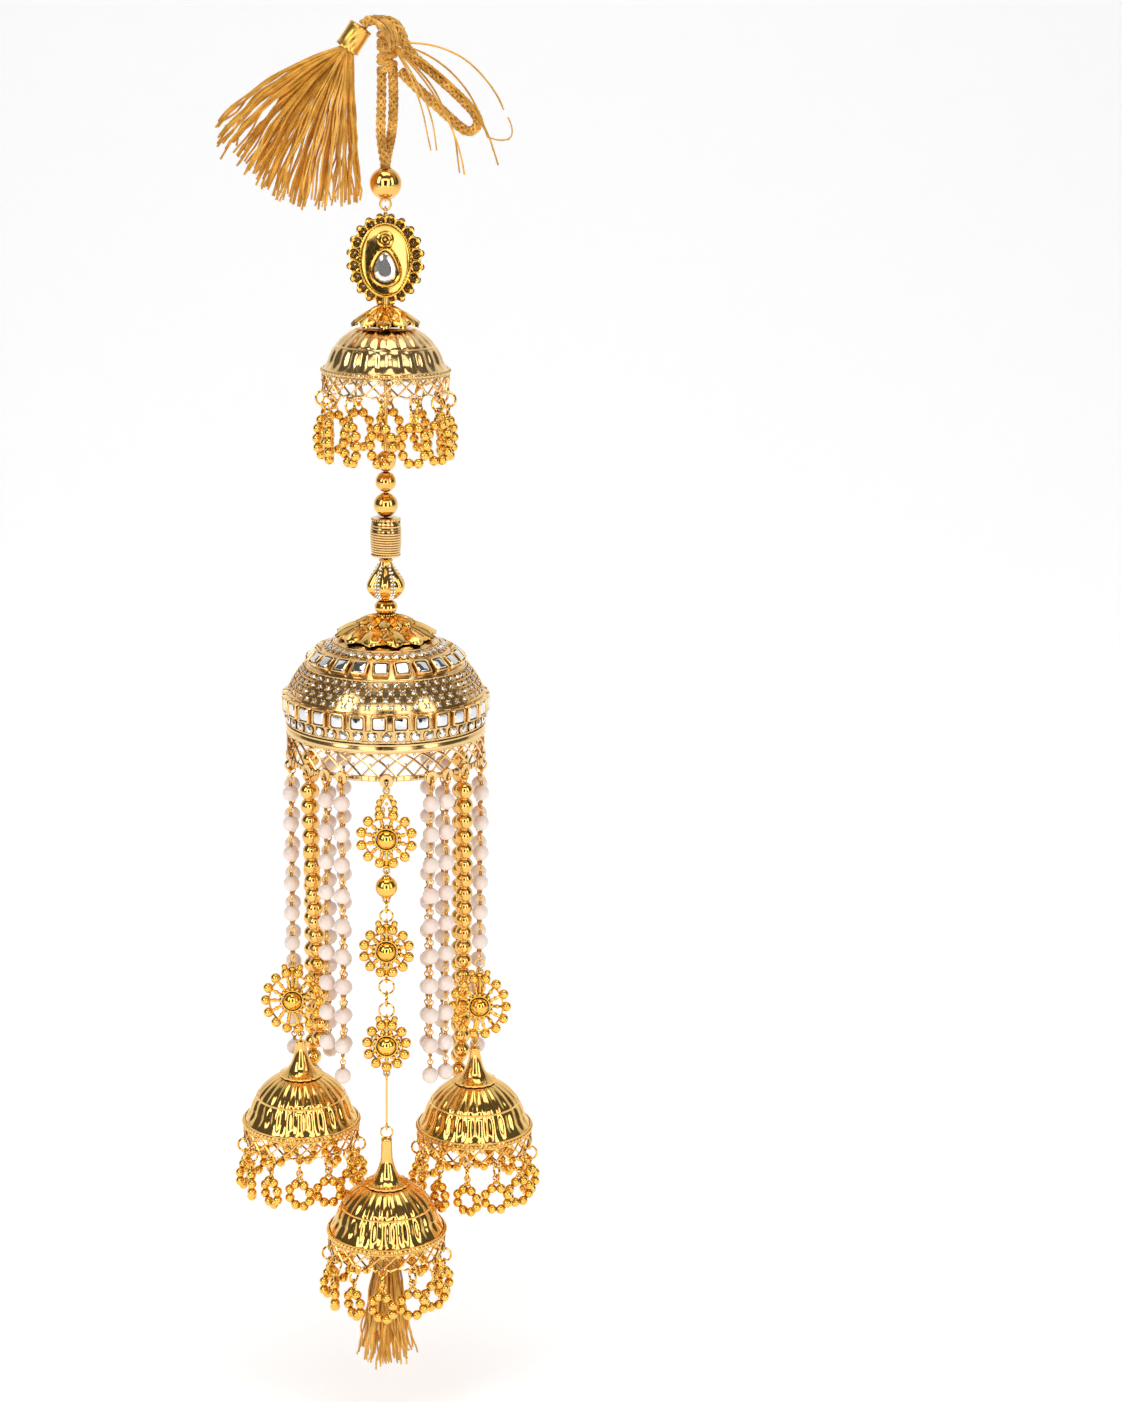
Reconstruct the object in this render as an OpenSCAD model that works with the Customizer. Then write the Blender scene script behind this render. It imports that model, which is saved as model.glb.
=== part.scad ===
// Kalire bridal ornament, millimetres, +Z up, seen along +Y.
// The origin is the top of the cord's bend, where the ornament hangs.

/* [Tie cord and tassel] */
// Diameter of the braided tie cord
cord_d = 2.4; // [2:0.1:2.6]
// Diameter of the tassel ferrule
ferrule_d = 6; // [5:0.5:7]
// Length of the tassel ferrule
ferrule_l = 6.4; // [5:0.2:8]
// Number of locks in the tie tassel
tie_locks = 13; // [9:1:19]

/* [Head] */
// Diameter of the large round bead
top_bead_d = 7.7; // [7:0.1:8]
// Half width of the medallion's scallop ring
medallion_rx = 7.9; // [7:0.1:8.5]
// Half height of the medallion's scallop ring
medallion_rz = 9.5; // [9:0.1:10]
// Number of scallops round the medallion
scallops = 20; // [16:2:20]

/* [Bells] */
// Radius of the upper bell's dome
upper_bell_r = 14.3; // [13:0.1:14.6]
// Radius of the three lower bells' domes
bell_r = 13.4; // [12.5:0.1:13.6]
// Flutes round each bell
flutes = 24; // [20:2:28]
// Fringe units round each bell
units = 12; // [8:1:12]
// Diameter of a fringe bead
fringe_bead_d = 2.5; // [2.2:0.1:2.6]

/* [Main dome] */
// Outer radius of the main dome
dome_r = 24.9; // [24.5:0.1:25.3]
// Square stones in the upper row
upper_stones = 22; // [18:1:22]
// Square stones in the lower row
lower_stones = 30; // [24:1:30]
// Openings in each row of the lattice skirt
lattice = 24; // [16:2:24]
// Turn of the strands round the dome's axis
strand_turn = 4; // [0:1:5]

/* [Strands and flowers] */
// Diameter of a pearl
pearl_d = 4.1; // [3.8:0.1:4.2]
// Diameter of a gold strand bead
gold_d = 4.4; // [4:0.1:4.5]
// Diameter of a flower's outer beads
petal_d = 2.6; // [2.2:0.1:2.7]
// Diameter of a flower's middle bead
core_d = 5.4; // [4.5:0.1:5.6]

/* [Hidden] */
$fn = 48;

gold = "goldenrod";
pale_gold = "darkkhaki";
pearl = "mistyrose";
thread_gold = "gold";
stone = "lightsteelblue";

// Clearances
gap = 0.15;       // between a ring and what hangs in it
bore_gap = 0.15;  // round a wire in a bore

// Heights, from the hang point down
bead_z = -39;
top_ring_z = -43.9;
medallion_z = -57;
cap_top_z = -68.2;
upper_rim_z = -83.5;
stem_bead_z = [-105.8, -110.9, -116.6];
barrel_z = -124.6;
lantern_z = -135.3;
flat_bead_z = -142.2;
dome_top_z = -145.8;
kundan_upper_z = -154.3;
kundan_lower_z = -165.8;
ledge_z = -172.6;
lug_z = -180;
front_flower_z = -194.5;
left_flower_z = -243.3;
right_flower_z = -245.3;

// Wires and rings
wire = 0.5;
ring_wire = 0.6;
top_ring_r = 1.3;
eye_r = 0.75;
strand_ring_r = 1.2;
jump_r = 1.8;
stem_d = 0.9;
link_r = 1.55;
long_ring_r = 1.85;
upper_rz = 6.3;
middle_rz = 5.7;
lower_rz = 5.6;
side_rz = 7.6;

// Small helpers
function unit(v) = v / norm(v);
function clamp_i(i, n) = max(0, min(n - 1, i));
function tangent(path, i) = unit(path[clamp_i(i + 1, len(path))] - path[clamp_i(i - 1, len(path))]);
// Height of the next ring's centre, below a ring whose centre is at z
function next_z(z, r1, r2, w1 = wire, w2 = wire) = z - (r1 + r2 - (w1 + w2) / 2 - gap);
// A point at an angle round the dome's axis, 0 at the front and positive to the right
function around(r, a) = [r * sin(a), -r * cos(a), 0];

// A tube of even thickness along a route
module tube(path, d, sides = 8) {
    n = len(path);
    points = [for (i = [0 : n - 1])
        let (t = tangent(path, i), u = unit(cross(t, [0, 1, 0])), v = cross(t, u))
        for (k = [0 : sides - 1])
        path[i] + d / 2 * (cos(360 * k / sides) * u + sin(360 * k / sides) * v)];
    walls = [for (i = [0 : n - 2], k = [0 : sides - 1])
        let (a = i * sides + k, b = i * sides + (k + 1) % sides)
        [b, a, a + sides, b + sides]];
    ends = [[for (k = [0 : sides - 1]) k], [for (k = [sides - 1 : -1 : 0]) (n - 1) * sides + k]];
    polyhedron(points, concat(walls, ends), convexity = 4);
}

// A ring of round wire; its hole faces +Z
module wire_ring(r, d) {
    rotate_extrude() translate([r, 0]) circle(d = d, $fn = 24);
}
// The same, its hole facing Y, seen open from the front
module ring_open(r, d) { rotate([90, 0, 0]) wire_ring(r, d); }
// The same, its hole facing X, seen edge-on from the front
module ring_edge(r, d) { rotate([0, 90, 0]) wire_ring(r, d); }

// A rod between two points
module rod(a, b, d) {
    v = b - a;
    translate(a)
        rotate([0, acos(v[2] / norm(v)), atan2(v[1], v[0])])
            cylinder(h = norm(v), d = d, $fn = 20);
}

// A bored round bead
module bored_bead(d, bore) {
    difference() {
        sphere(d = d);
        cylinder(h = 2 * d, d = bore, center = true);
    }
}

// A hollow turned shell with lobes. Each row of the profile is [radius, height, lobe depth],
// and the rows run once round the wall.
module lobed_shell(profile, lobes, per_lobe) {
    columns = lobes * per_lobe;
    rows = len(profile);
    points = [for (i = [0 : columns - 1], p = profile)
        let (a = 360 * i / columns, r = p[0] + p[2] * (cos(a * lobes) - 1) / 2)
        [r * sin(a), -r * cos(a), p[1]]];
    faces = [for (i = [0 : columns - 1], k = [0 : rows - 1])
        let (a = i * rows + k, b = i * rows + (k + 1) % rows,
            c = ((i + 1) % columns) * rows + (k + 1) % rows, d = ((i + 1) % columns) * rows + k)
        each [[a, d, c], [a, c, b]]];
    polyhedron(points, faces, convexity = 6);
}

// A cut stone with a table, crown facets and a flat back. The outline runs in the XY plane.
module cut_stone(outline, height, table) {
    n = len(outline);
    points = concat([for (p = outline) [p[0], p[1], 0]],
        [for (p = outline) [p[0] * table, p[1] * table, height]]);
    faces = concat([[for (k = [0 : n - 1]) k]],
        [for (k = [0 : n - 1]) [(k + 1) % n, k, n + k, n + (k + 1) % n]],
        [[for (k = [n - 1 : -1 : 0]) n + k]]);
    polyhedron(points, faces, convexity = 4);
}

// Tie cord, knot, ferrule and tassel
neck_left = [[0, -1.3, -34.6], [-0.3, -1.3, -32.6], [-0.7, -1.1, -30.4], [-1, -0.8, -28], [-1.1, -0.4, -25],
    [-1, 0, -21], [-0.9, 0, -17], [-0.9, 0, -12.2]];
neck_right = [[0, 1.3, -34.6], [0.3, 1.3, -32.6], [0.8, 1.1, -30.4], [1.3, 0.8, -28], [1.7, 0.4, -25],
    [1.9, 0, -21], [1.9, 0, -17], [1.7, 0, -12.2]];
// Route of the doubled loop: out of the ferrule, over the bend, down to the right and back
loop_route = [[-5.3, 0, -2.3], [-4.2, 0, -1.5], [-2.6, 0, -1.2], [-0.8, 0, -1.2], [1, 0, -1.4],
    [2.6, 0, -2.3], [3.7, 0, -4], [4.4, 0, -6], [5.6, 0, -8.2], [7.6, 0, -10.2],
    [10.4, 0, -12.4], [13.4, 0, -14.9], [16.4, 0, -17.5], [19.2, 0, -20.1], [21.2, 0, -22.3],
    [22, 0, -24.2], [21.3, 0, -25.9], [19.6, 0, -26.5], [17.6, 0, -25.4], [14.8, 0, -23],
    [11.8, 0, -20.4], [8.8, 0, -17.8], [6, 0, -15.2], [3.6, 0, -12.8]];
loop_depth = 1.35;
ferrule_axis = [-0.55, 0, -0.835];
ferrule_top = [-5.6, 0, -2.6];
knot_d = 5.6;
knot_z = -8.3;

module neck_cords() {
    color(thread_gold) {
        tube(neck_left, cord_d);
        tube(neck_right, cord_d);
        translate([0, 0, -41.95]) cylinder(h = 8.2, d = 2.3);
        translate([0, 0, top_ring_z + top_ring_r + 0.05]) ring_edge(0.68, 0.4);
    }
}

module tie_loop(side) {
    color(thread_gold) tube([for (p = loop_route) p + [0, side * loop_depth, 0]], cord_d);
}

module tie_knot() {
    color(thread_gold) translate([0.4, 0, knot_z]) difference() {
        scale([0.95, 1, 1.5]) sphere(d = knot_d);
        for (s = [-1, 1]) translate([0, 0, s * 5.7]) cube([8, 8, 4], center = true);
    }
}

module at_ferrule() {
    translate(ferrule_top) rotate([0, 180 + atan2(-ferrule_axis[0], -ferrule_axis[2]), 0]) children();
}

module tassel_ferrule() {
    color(gold) at_ferrule() difference() {
        cylinder(h = ferrule_l, d = ferrule_d);
        translate([0, 0, 0.5]) cylinder(h = ferrule_l, d = ferrule_d - 0.8);
        cube([3, 5.4, 3], center = true);
    }
}

// One lock: a tapered run of short hulls that falls away from its head
module lock(start, tip, bow, d0, d1) {
    steps = 3;
    function at(t) = start * (1 - t) + tip * t + bow * 4 * t * (1 - t);
    for (i = [0 : steps - 1]) hull() {
        translate(at(i / steps)) cylinder(h = 0.3, d = d0 + (d1 - d0) * i / steps, $fn = 6);
        translate(at((i + 1) / steps)) cylinder(h = 0.3, d = d0 + (d1 - d0) * (i + 1) / steps, $fn = 6);
    }
}

module tie_tassel() {
    golden_angle = 137.5;
    neck = ferrule_top + ferrule_axis * (ferrule_l - 0.3);
    color(thread_gold) {
        at_ferrule() translate([0, 0, 1.6]) cylinder(h = ferrule_l - 1.5, d = ferrule_d - 1.2, $fn = 16);
        for (i = [0 : tie_locks - 1]) {
            f = i / (tie_locks - 1);
            swing = 6 - 64 * f;
            reach = 38.5 - 3 * pow(2 * f - 1, 2);
            depth = 5 * sin(golden_angle * i) - 2;
            tip = neck + [reach * sin(swing), depth, -reach * cos(swing)];
            lock(neck + [0.9 * sin(swing) + 0.3, depth / 8, 0], tip, [-2 * f, 0, 1.5 * f + 0.4], 2.2, 1.1);
        }
    }
}

// Head: bead, ring, medallion
module top_bead() { color(gold) translate([0, 0, bead_z]) bored_bead(top_bead_d, 2.8); }

module top_ring() { color(gold) translate([0, 0, top_ring_z]) ring_open(top_ring_r, ring_wire); }

function oval(rx, rz, n) = [for (k = [0 : n - 1]) [rx * cos(360 * k / n), rz * sin(360 * k / n)]];
// Pear outline, its point up
function pear(w, h, n) = [for (k = [0 : n - 1])
    let (a = 360 * k / n) [w / 2 * cos(a) * (1 - 0.3 * sin(a)), h / 2 * sin(a)]];

// Flat work that stands in the frontal plane, its thickness about y
module upright(depth, y = 0) {
    translate([0, y, 0]) rotate([90, 0, 0]) linear_extrude(height = depth, center = true) children();
}

medallion_bail_z = next_z(top_ring_z, top_ring_r, eye_r, ring_wire, wire);
module medallion() {
    dish_rx = 5.6;
    dish_rz = 8.2;
    color(gold) {
        translate([0, 0, medallion_bail_z]) ring_edge(eye_r, wire);
        translate([0, 0, medallion_z + medallion_rz - 0.2]) cylinder(h = 1.9, d = 1);
        translate([0, 0, medallion_z]) {
            difference() {
                union() {
                    for (k = [0 : scallops - 1]) {
                        a = 360 * (k + 0.5) / scallops;
                        translate([(medallion_rx - 0.3) * cos(a), 0, (medallion_rz - 0.3) * sin(a)])
                            rotate([90, 0, 0]) cylinder(h = 1.2, d = 3, center = true);
                        translate([(medallion_rx + 0.75) * cos(a), 0, (medallion_rz + 0.75) * sin(a)])
                            rotate([90, 0, 0]) cylinder(h = 1, d = 1.7, center = true, $fn = 24);
                    }
                    upright(1.2) polygon(oval(medallion_rx - 0.4, medallion_rz - 0.4, 40));
                    upright(2.2) polygon(oval(dish_rx + 0.7, dish_rz + 0.7, 40));
                }
                for (k = [0 : scallops - 1]) {
                    a = 360 * (k + 0.5) / scallops;
                    translate([(medallion_rx - 0.75) * cos(a), 0, (medallion_rz - 0.75) * sin(a)])
                        rotate([90, 0, 0]) cylinder(h = 4, d = 0.9, center = true, $fn = 16);
                }
                upright(2, -1.6) polygon(oval(dish_rx, dish_rz, 40));
            }
            translate([0, 0, -1.7]) difference() {
                upright(2.2, -0.6) polygon(pear(7.4, 9.6, 24));
                upright(2, -1.9) polygon(pear(5.6, 7.8, 24));
            }
            translate([0, -1, 4.9]) ring_open(1.7, 0.7);
        }
        translate([0, 0, cap_top_z + 0.1]) difference() {
            cylinder(h = 2.5, d = 2.2);
            translate([0, 0, -1]) cylinder(h = 2.6, d = stem_d + 2 * bore_gap);
        }
    }
}

module medallion_stone() {
    color(stone) translate([0, -0.95, medallion_z - 1.7]) rotate([90, 0, 0])
        cut_stone(pear(5.3, 7.5, 12), 1.7, 0.6);
}

// Bells. A bell's own origin is the middle of its rim.
module lattice_skirt(r, hole_w, hole_h) {
    inner = r - skirt_wall / 2;
    outer = r + skirt_wall / 2;
    difference() {
        union() {
            rotate([0, 0, 6.3]) rotate_extrude()
                polygon([[inner, 0.1], [inner, skirt_bottom], [outer, skirt_bottom], [outer, 0.1]]);
            at_units(r, hole_z) rotate([0, 90, 0]) cylinder(h = skirt_wall + 0.1, d = 2.3, center = true);
        }
        at_units(r, -2.4) cut_diamond(hole_w, hole_h, 3);
        rotate([0, 0, 180 / units]) at_units(r, skirt_bottom - 0.15) cut_diamond(hole_w, hole_h + 0.8, 3);
        at_units(r, hole_z) rotate([0, 90, 0]) cylinder(h = 3, d = 1.1, center = true);
    }
}

// Places the children at each fringe unit's angle, X outward
module at_units(r, z) {
    for (k = [0 : units - 1]) rotate([0, 0, 360 * k / units]) translate([r, 0, z]) children();
}

// A diamond-shaped cutter whose way through is along X
module cut_diamond(w, h, depth) {
    rotate([90, 0, 90]) linear_extrude(height = depth, center = true)
        polygon([[w / 2, 0], [0, h / 2], [-w / 2, 0], [0, -h / 2]]);
}

skirt_r = 14.5;
skirt_wall = 0.8;
skirt_bottom = -5.1;
hole_z = skirt_bottom - 0.1;
jump_z = hole_z - 0.05 - jump_r;

// The fluted dome, rim, pierced skirt and lugs that all four bells share
module bell_shell(top, rim, h, skirt) {
    wall = 0.9;
    flute = 0.75;
    edge = skirt + 0.6;
    outer = [for (t = [48, 36, 31, 24, 5])
        [rim * cos(t), h * sin(t), flute * (t == 31 ? 0.15 : t > 45 ? 0.4 : 1)]];
    roll = [[edge - 0.4, 0.65, 0], [edge, 0, 0], [edge - 0.4, -0.7, 0], [rim - 1.6, -0.4, 0]];
    inner = [for (t = [12, 44]) [(rim - wall - flute) * cos(t), (h - wall) * sin(t), 0]];
    lobed_shell(concat(top, outer, roll, inner, [[top[0][0], (h - wall) * sin(56), 0]]), flutes, 2);
    lattice_skirt(skirt, 5.4, 3.4);
}

// The loose rings through a skirt's lugs
module skirt_rings(r) {
    at_units(r, jump_z) rotate([90, 0, 0]) wire_ring(jump_r, ring_wire);
}

// A ring of beads that hangs by two legs from its own loop: eight in a round, or ten in a tall oval
module bead_ring_unit(tall) {
    rx = 3.05;
    rz = tall ? 4.6 : rx;
    drop = tall ? 7.6 : 5.8;
    turns = tall ? [22, 59, 90, 121, 158] : [22.5, 67.5, 112.5, 157.5];
    loop_z = next_z(jump_z, jump_r, 0.8, ring_wire, wire);
    translate([0, 0, loop_z]) {
        ring_open(0.8, wire);
        for (side = [-1, 1]) {
            rod([side * 0.5, 0, -0.68], [side * 1.1, 0, -0.45 + rz - drop], 0.6);
            for (t = turns) translate([side * rx * sin(t), 0, rz * cos(t) - drop])
                rotate([0, side * t, 0]) rotate([90, 90, 0]) sphere(d = fringe_bead_d, $fn = 24);
        }
    }
}

module fringe(r, tall = false) {
    yaw = 25;
    at_units(r, 0) rotate([0, 0, 90 - yaw]) bead_ring_unit(tall);
}

// Cone finial of a lower bell whose pin ends at height top, from the pin's bore out to the flange
function cone_rows(top) = [[0.6, top, 0], [1.3, top, 0], [2.1, 17, 0], [4, 13.2, 0], [6.9, 11.3, 0]];
bell_h = 13.2;
side_pin = 21.2;
centre_pin = 24.3;
apex_ring_r = 0.9;

// ring_turn: 0 sets the apex ring edge-on to the front once the bell is turned, 90 open
module lower_bell(pin, ring_r, ring_turn) {
    bell_shell(cone_rows(pin), bell_r, bell_h, skirt_r);
    translate([0, 0, 8]) cylinder(h = pin - 7.7, d = 1.6, $fn = 32);
    translate([0, 0, pin + ring_r + 0.1]) rotate([0, 0, ring_turn]) ring_edge(ring_r, wire);
}

// Upper bell and its petalled cap
upper_skirt_r = 15.2;
upper_h = 11.6;
module upper_bell() {
    top = [[0.6, upper_h * sin(62), 0], [upper_bell_r * cos(62), upper_h * sin(62), 0]];
    color(pale_gold) translate([0, 0, upper_rim_z])
        bell_shell(top, upper_bell_r, upper_h, upper_skirt_r);
}

module upper_cap() {
    petals = 10;
    top = 0;
    color(gold) translate([0, 0, cap_top_z]) lobed_shell([[0.6, top, 0], [1.3, top, 0],
        [2.6, -1.3, 0.4], [4.6, -2.7, 0.8], [7, -3.8, 1.1], [8.3, -4.1, 1.4], [8.3, -4.6, 1.4],
        [5, -4.3, 0.9], [1.5, -2.6, 0.2], [0.6, -2.4, 0]], petals, 4);
}

// Stem: one wire through everything from the medallion to the main dome
module stem_wire() {
    color(gold) {
        translate([0, 0, -149]) cylinder(h = 149 + cap_top_z + 0.7, d = stem_d);
        translate([0, 0, -149.4]) sphere(d = 3);
    }
}

module stem_bead(i) {
    d = [5.1, 5.1, 6][i];
    color(gold) translate([0, 0, stem_bead_z[i]]) bored_bead(d, stem_d + 2 * bore_gap);
}

// A turned bead from a half outline, bored for the stem
module turned_bead(outline) {
    difference() {
        rotate_extrude() polygon(concat([[0, outline[0][1]]], outline,
            [[0, outline[len(outline) - 1][1]]]));
        cylinder(h = 40, d = stem_d + 2 * bore_gap, center = true);
    }
}

module barrel_bead() {
    body = [for (t = [-1 : 0.25 : 1]) [3.9 - 0.35 * t * t, -4.1 * t]];
    color(pale_gold) translate([0, 0, barrel_z])
        turned_bead(concat([[3.0, 4.9], [3.6, 4.7], [3.6, 4.2]], body, [[3.6, -4.2], [3.6, -4.7], [3.0, -4.9]]));
}

module lantern_bead() {
    ribs = 6;
    color(gold) translate([0, 0, lantern_z]) lobed_shell([[0.65, 5, 0], [1.6, 5, 0], [1.9, 4, 0],
        [2.6, 2.9, 0.3], [4, 1.2, 0.8], [5.2, -1, 1.2], [4.9, -2.8, 1], [3.2, -4.4, 0.3], [2, -4.9, 0],
        [0.65, -4.9, 0]], ribs, 6);
}

module flat_bead() {
    color(gold) translate([0, 0, flat_bead_z])
        turned_bead([for (t = [-80 : 20 : 80]) [1.2 + 1.7 * cos(t), -1.65 * sin(t)]]);
}

// Main dome: a turned shell with square bezels, a ledge, a lattice skirt and lugs
dome_outline = [[1.2, -145.9], [4, -146.3], [7.6, -147.6], [12.4, -150.4], [16.4, -153.2], [19.3, -155.8],
    [22.3, -159.6], [24, -162.6], [24.7, -165], [24.8, -168.4], [24.5, -170.6]];
dome_wall = 1.1;
main_skirt_r = 24.4;
main_skirt_wall = 0.9;
chain_r = main_skirt_r + 0.9;
bezel = 4.3;
stone_w = 3.1;
strand_angles = [26.5, 37.3, 52, 77];
front_angle = strand_turn;
ledge_lean = 4.6;

// Angles of all the strands round the axis
strand_list = [for (back = [0, 1], side = [-1, 1], a = strand_angles)
    strand_turn + side * (back == 1 ? 180 - a : a)];

// Places the children on the dome's outside, their Z along the outward normal
module on_row(n, r, z, lean) {
    for (k = [0 : n - 1]) rotate([0, 0, 360 * (k + 0.5) / n])
        translate([r, 0, z]) rotate([0, 90 - lean, 0]) children();
}
upper_row_r = 17.9;
upper_row_lean = 50;
lower_row_r = 24.75;

module bezels(n, r, z, lean) {
    on_row(n, r, z, lean) translate([0, 0, -0.2]) cube([bezel - 0.2, bezel, 1.9], center = true);
}
module pockets(n, r, z, lean) {
    on_row(n, r, z, lean) translate([0, 0, 0.75]) cube([stone_w + 0.2, stone_w + 0.3, 1.2], center = true);
}

module main_dome() {
    outer = dome_outline;
    n = len(outer);
    inner = [for (i = [n - 1 : -1 : 0])
        let (t = unit(outer[clamp_i(i + 1, n)] - outer[clamp_i(i - 1, n)]))
        [max(0.8, outer[i][0] + t[1] * dome_wall), outer[i][1] - t[0] * dome_wall]];
    rows = 2;
    pitch = 360 / lattice;
    color(pale_gold) difference() {
        union() {
            rotate_extrude() polygon(concat([[0.8, outer[0][1]]], outer,
                [[25, -172.2], [25, -173.2], [24, -173.2], [23.3, -171]], inner));
            translate([0, 0, lug_z - 0.4]) difference() {
                cylinder(h = 7.6, r = main_skirt_r + main_skirt_wall / 2);
                translate([0, 0, -1]) cylinder(h = 12, r = main_skirt_r - main_skirt_wall / 2);
            }
            bezels(upper_stones, upper_row_r, kundan_upper_z, upper_row_lean);
            bezels(lower_stones, lower_row_r, kundan_lower_z, 0);
            for (a = strand_list) rotate([0, 0, a - 90])
                translate([main_skirt_r, 0, lug_z]) rotate([0, 90, 0]) cylinder(h = 1.2, d = 3.2, center = true);
            rotate([0, 0, front_angle - 90]) translate([chain_r - 0.03, 0, lug_z])
                rotate([0, 90, 0]) cylinder(h = 1.25, d = 3.4, center = true);
        }
        pockets(upper_stones, upper_row_r, kundan_upper_z, upper_row_lean);
        pockets(lower_stones, lower_row_r, kundan_lower_z, 0);
        for (row = [0 : rows - 1], k = [0 : lattice - 1]) rotate([0, 0, (k + row / 2) * pitch])
            translate([main_skirt_r, 0, -174.9 - 2.5 * row]) cut_diamond(4.9, 3.2, 3);
        for (a = strand_list) rotate([0, 0, a - 90])
            translate([main_skirt_r, 0, lug_z]) rotate([0, 90, 0]) cylinder(h = 6, d = 1.1, center = true);
        rotate([0, 0, front_angle - 90])
            translate([main_skirt_r, 0, lug_z]) rotate([0, 90, 0]) cylinder(h = 6, d = 1.3, center = true);
    }
}

module kundan_row(n, r, z, lean) {
    square_cut = [for (p = [[1, 0.55], [0.55, 1], [-0.55, 1], [-1, 0.55], [-1, -0.55], [-0.55, -1],
        [0.55, -1], [1, -0.55]]) p * stone_w / 2];
    color(stone) on_row(n, r, z, lean) translate([0, 0, 0.25]) cut_stone(square_cut, 0.8, 0.72);
}

module main_cap() {
    leaves = 12;
    color(gold) translate([0, 0, dome_top_z]) lobed_shell([[0.6, 1.9, 0], [1.9, 1.9, 0], [2.3, 1.2, 0.2],
        [4.4, 0.8, 0.6], [7.4, -0.2, 1], [7.5, -0.7, 1], [7.2, -0.8, 0.5], [10, -1.9, 0.8], [12.8, -3.3, 1.3],
        [12.8, -3.75, 1.3], [7.6, -1.6, 0.1], [4, -0.35, 0], [0.6, 0.1, 0]], leaves, 3);
}

// Rings in the main dome's lugs
strand_ring_z = lug_z - 0.05 - strand_ring_r;
strand_top_z = strand_ring_z - strand_ring_r - ring_wire / 2 - 0.1;
module strand_rings() {
    color(gold) {
        for (a = strand_list) translate([0, 0, strand_ring_z]) rotate([0, 0, a - 90])
            translate([main_skirt_r, 0, 0]) rotate([90, 0, 0]) wire_ring(strand_ring_r, ring_wire);
        translate([0, 0, strand_ring_z]) rotate([0, 0, front_angle - 90])
            translate([chain_r, 0, 0]) rotate([90, 0, 0]) wire_ring(strand_ring_r, ring_wire);
    }
}

// Outer pearl strands: six pearls on a wire with an eye at each end
outer_eye_z = next_z(strand_ring_z, strand_ring_r, eye_r, ring_wire, wire);
function low_eye_z(flower_z) = flower_z + eye_offset(side_rz) + 2 * eye_r - wire - gap;
pearl_pitch = 7.85;
first_pearl_z = -188.6;
module outer_pearls(a) {
    pearls = 6;
    color(pearl) for (k = [0 : pearls - 1])
        translate(around(main_skirt_r, a) + [0, 0, first_pearl_z - k * pearl_pitch])
            bored_bead(pearl_d, 1);
}
module outer_wire(a, flower_z) {
    low = low_eye_z(flower_z);
    color(gold) translate(around(main_skirt_r, a)) {
        translate([0, 0, outer_eye_z]) rotate([0, 0, a - 90]) ring_edge(eye_r, wire);
        translate([0, 0, low]) ring_edge(eye_r, wire);
        translate([0, 0, low + eye_r]) cylinder(h = outer_eye_z - low - 2 * eye_r, d = 0.6);
    }
}

// Strands as tubes of the strand's outer form, each a short list of places in x, y and z
gold_left_route = [[-18, -16.2, -183.3], [-17.8, -12.4, -199], [-17.6, -8.2, -215], [-17.4, -3.2, -231],
    [-17.2, -0.6, -246], [-17, 1.6, -261]];
gold_right_route = [[20.2, -13.6, -183.3], [20.2, -10, -199], [20, -5.6, -215], [19.8, 0.2, -231],
    [19.5, 2.6, -247], [19.2, 4.5, -263]];
module strand(a, d, bottom) {
    top = around(main_skirt_r, a) + [0, 0, strand_top_z];
    rings = 4;
    tube([for (k = [0 : rings]) top + [0, 0, (bottom - strand_top_z) * k / rings]], d);
}
pearl_bottoms = [-258, -261, -264.5, -262];
back_bottom = -274;
back_outer_bottom = -264;

// Flowers: a middle bead in a collar, and outer beads on spokes, soldered together
// top_eye: 0 none, 1 seen edge-on, 2 seen open
module flower(rx, rz, n, low_eye, low_edge, top_eye) {
    rotate([0, 720 / n - 90, 0]) rotate([90, 0, 0]) {
        wire_ring(core_d / 2 + 0.9, 1.1);
        sphere(d = core_d);
    }
    for (k = [0 : n - 1]) {
        a = 360 * (k + 0.5) / n;
        p = [rx * sin(a), 0, rz * cos(a)];
        translate(p) rotate([0, a, 0]) rotate([90, -90, 0]) sphere(d = petal_d, $fn = 24);
        rod(p * 0.3, p, 0.9);
    }
    top = eye_offset(rz);
    if (top_eye == 1) translate([0, 0, top]) ring_edge(eye_r, wire);
    if (top_eye == 2) translate([0, 0, top]) ring_open(eye_r, wire);
    if (top_eye > 0) rod([0, 0, rz * 0.3], [0, 0, top - eye_r + 0.05], 0.9);
    translate(low_eye) if (low_edge) ring_edge(eye_r, wire); else ring_open(eye_r, wire);
    rod(low_eye * 0.3, low_eye * (1 - (eye_r - 0.05) / norm(low_eye)), 0.9);
}
function eye_offset(rz) = rz + petal_d / 2 + eye_r - 0.35;

chain_x = chain_r * sin(front_angle);
chain_y = -chain_r * cos(front_angle);
chain_drop = eye_offset(upper_rz) + 4.2;
// Heights down the flower chain, each from the ring above it
flower1_z = next_z(strand_ring_z, strand_ring_r, eye_r, ring_wire, wire) - chain_drop;
bead_eye_z = next_z(flower1_z - eye_offset(upper_rz), eye_r, eye_r);
front_bead_d = 5.4;
front_bead_z = bead_eye_z - eye_r - front_bead_d / 2 + 0.1;
bead_low_eye_z = front_bead_z - front_bead_d / 2 - eye_r + 0.1;
link1_z = next_z(bead_low_eye_z, eye_r, link_r);
link2_z = next_z(link1_z, link_r, link_r);
flower2_eye_z = next_z(link2_z, link_r, eye_r);
flower2_z = flower2_eye_z - eye_offset(middle_rz);
ring1_z = next_z(flower2_z - eye_offset(middle_rz), eye_r, long_ring_r);
ring2_z = next_z(ring1_z, long_ring_r, long_ring_r);
ring3_z = next_z(ring2_z, long_ring_r, long_ring_r);
flower3_z = next_z(ring3_z, long_ring_r, eye_r) - eye_offset(lower_rz);
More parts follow.
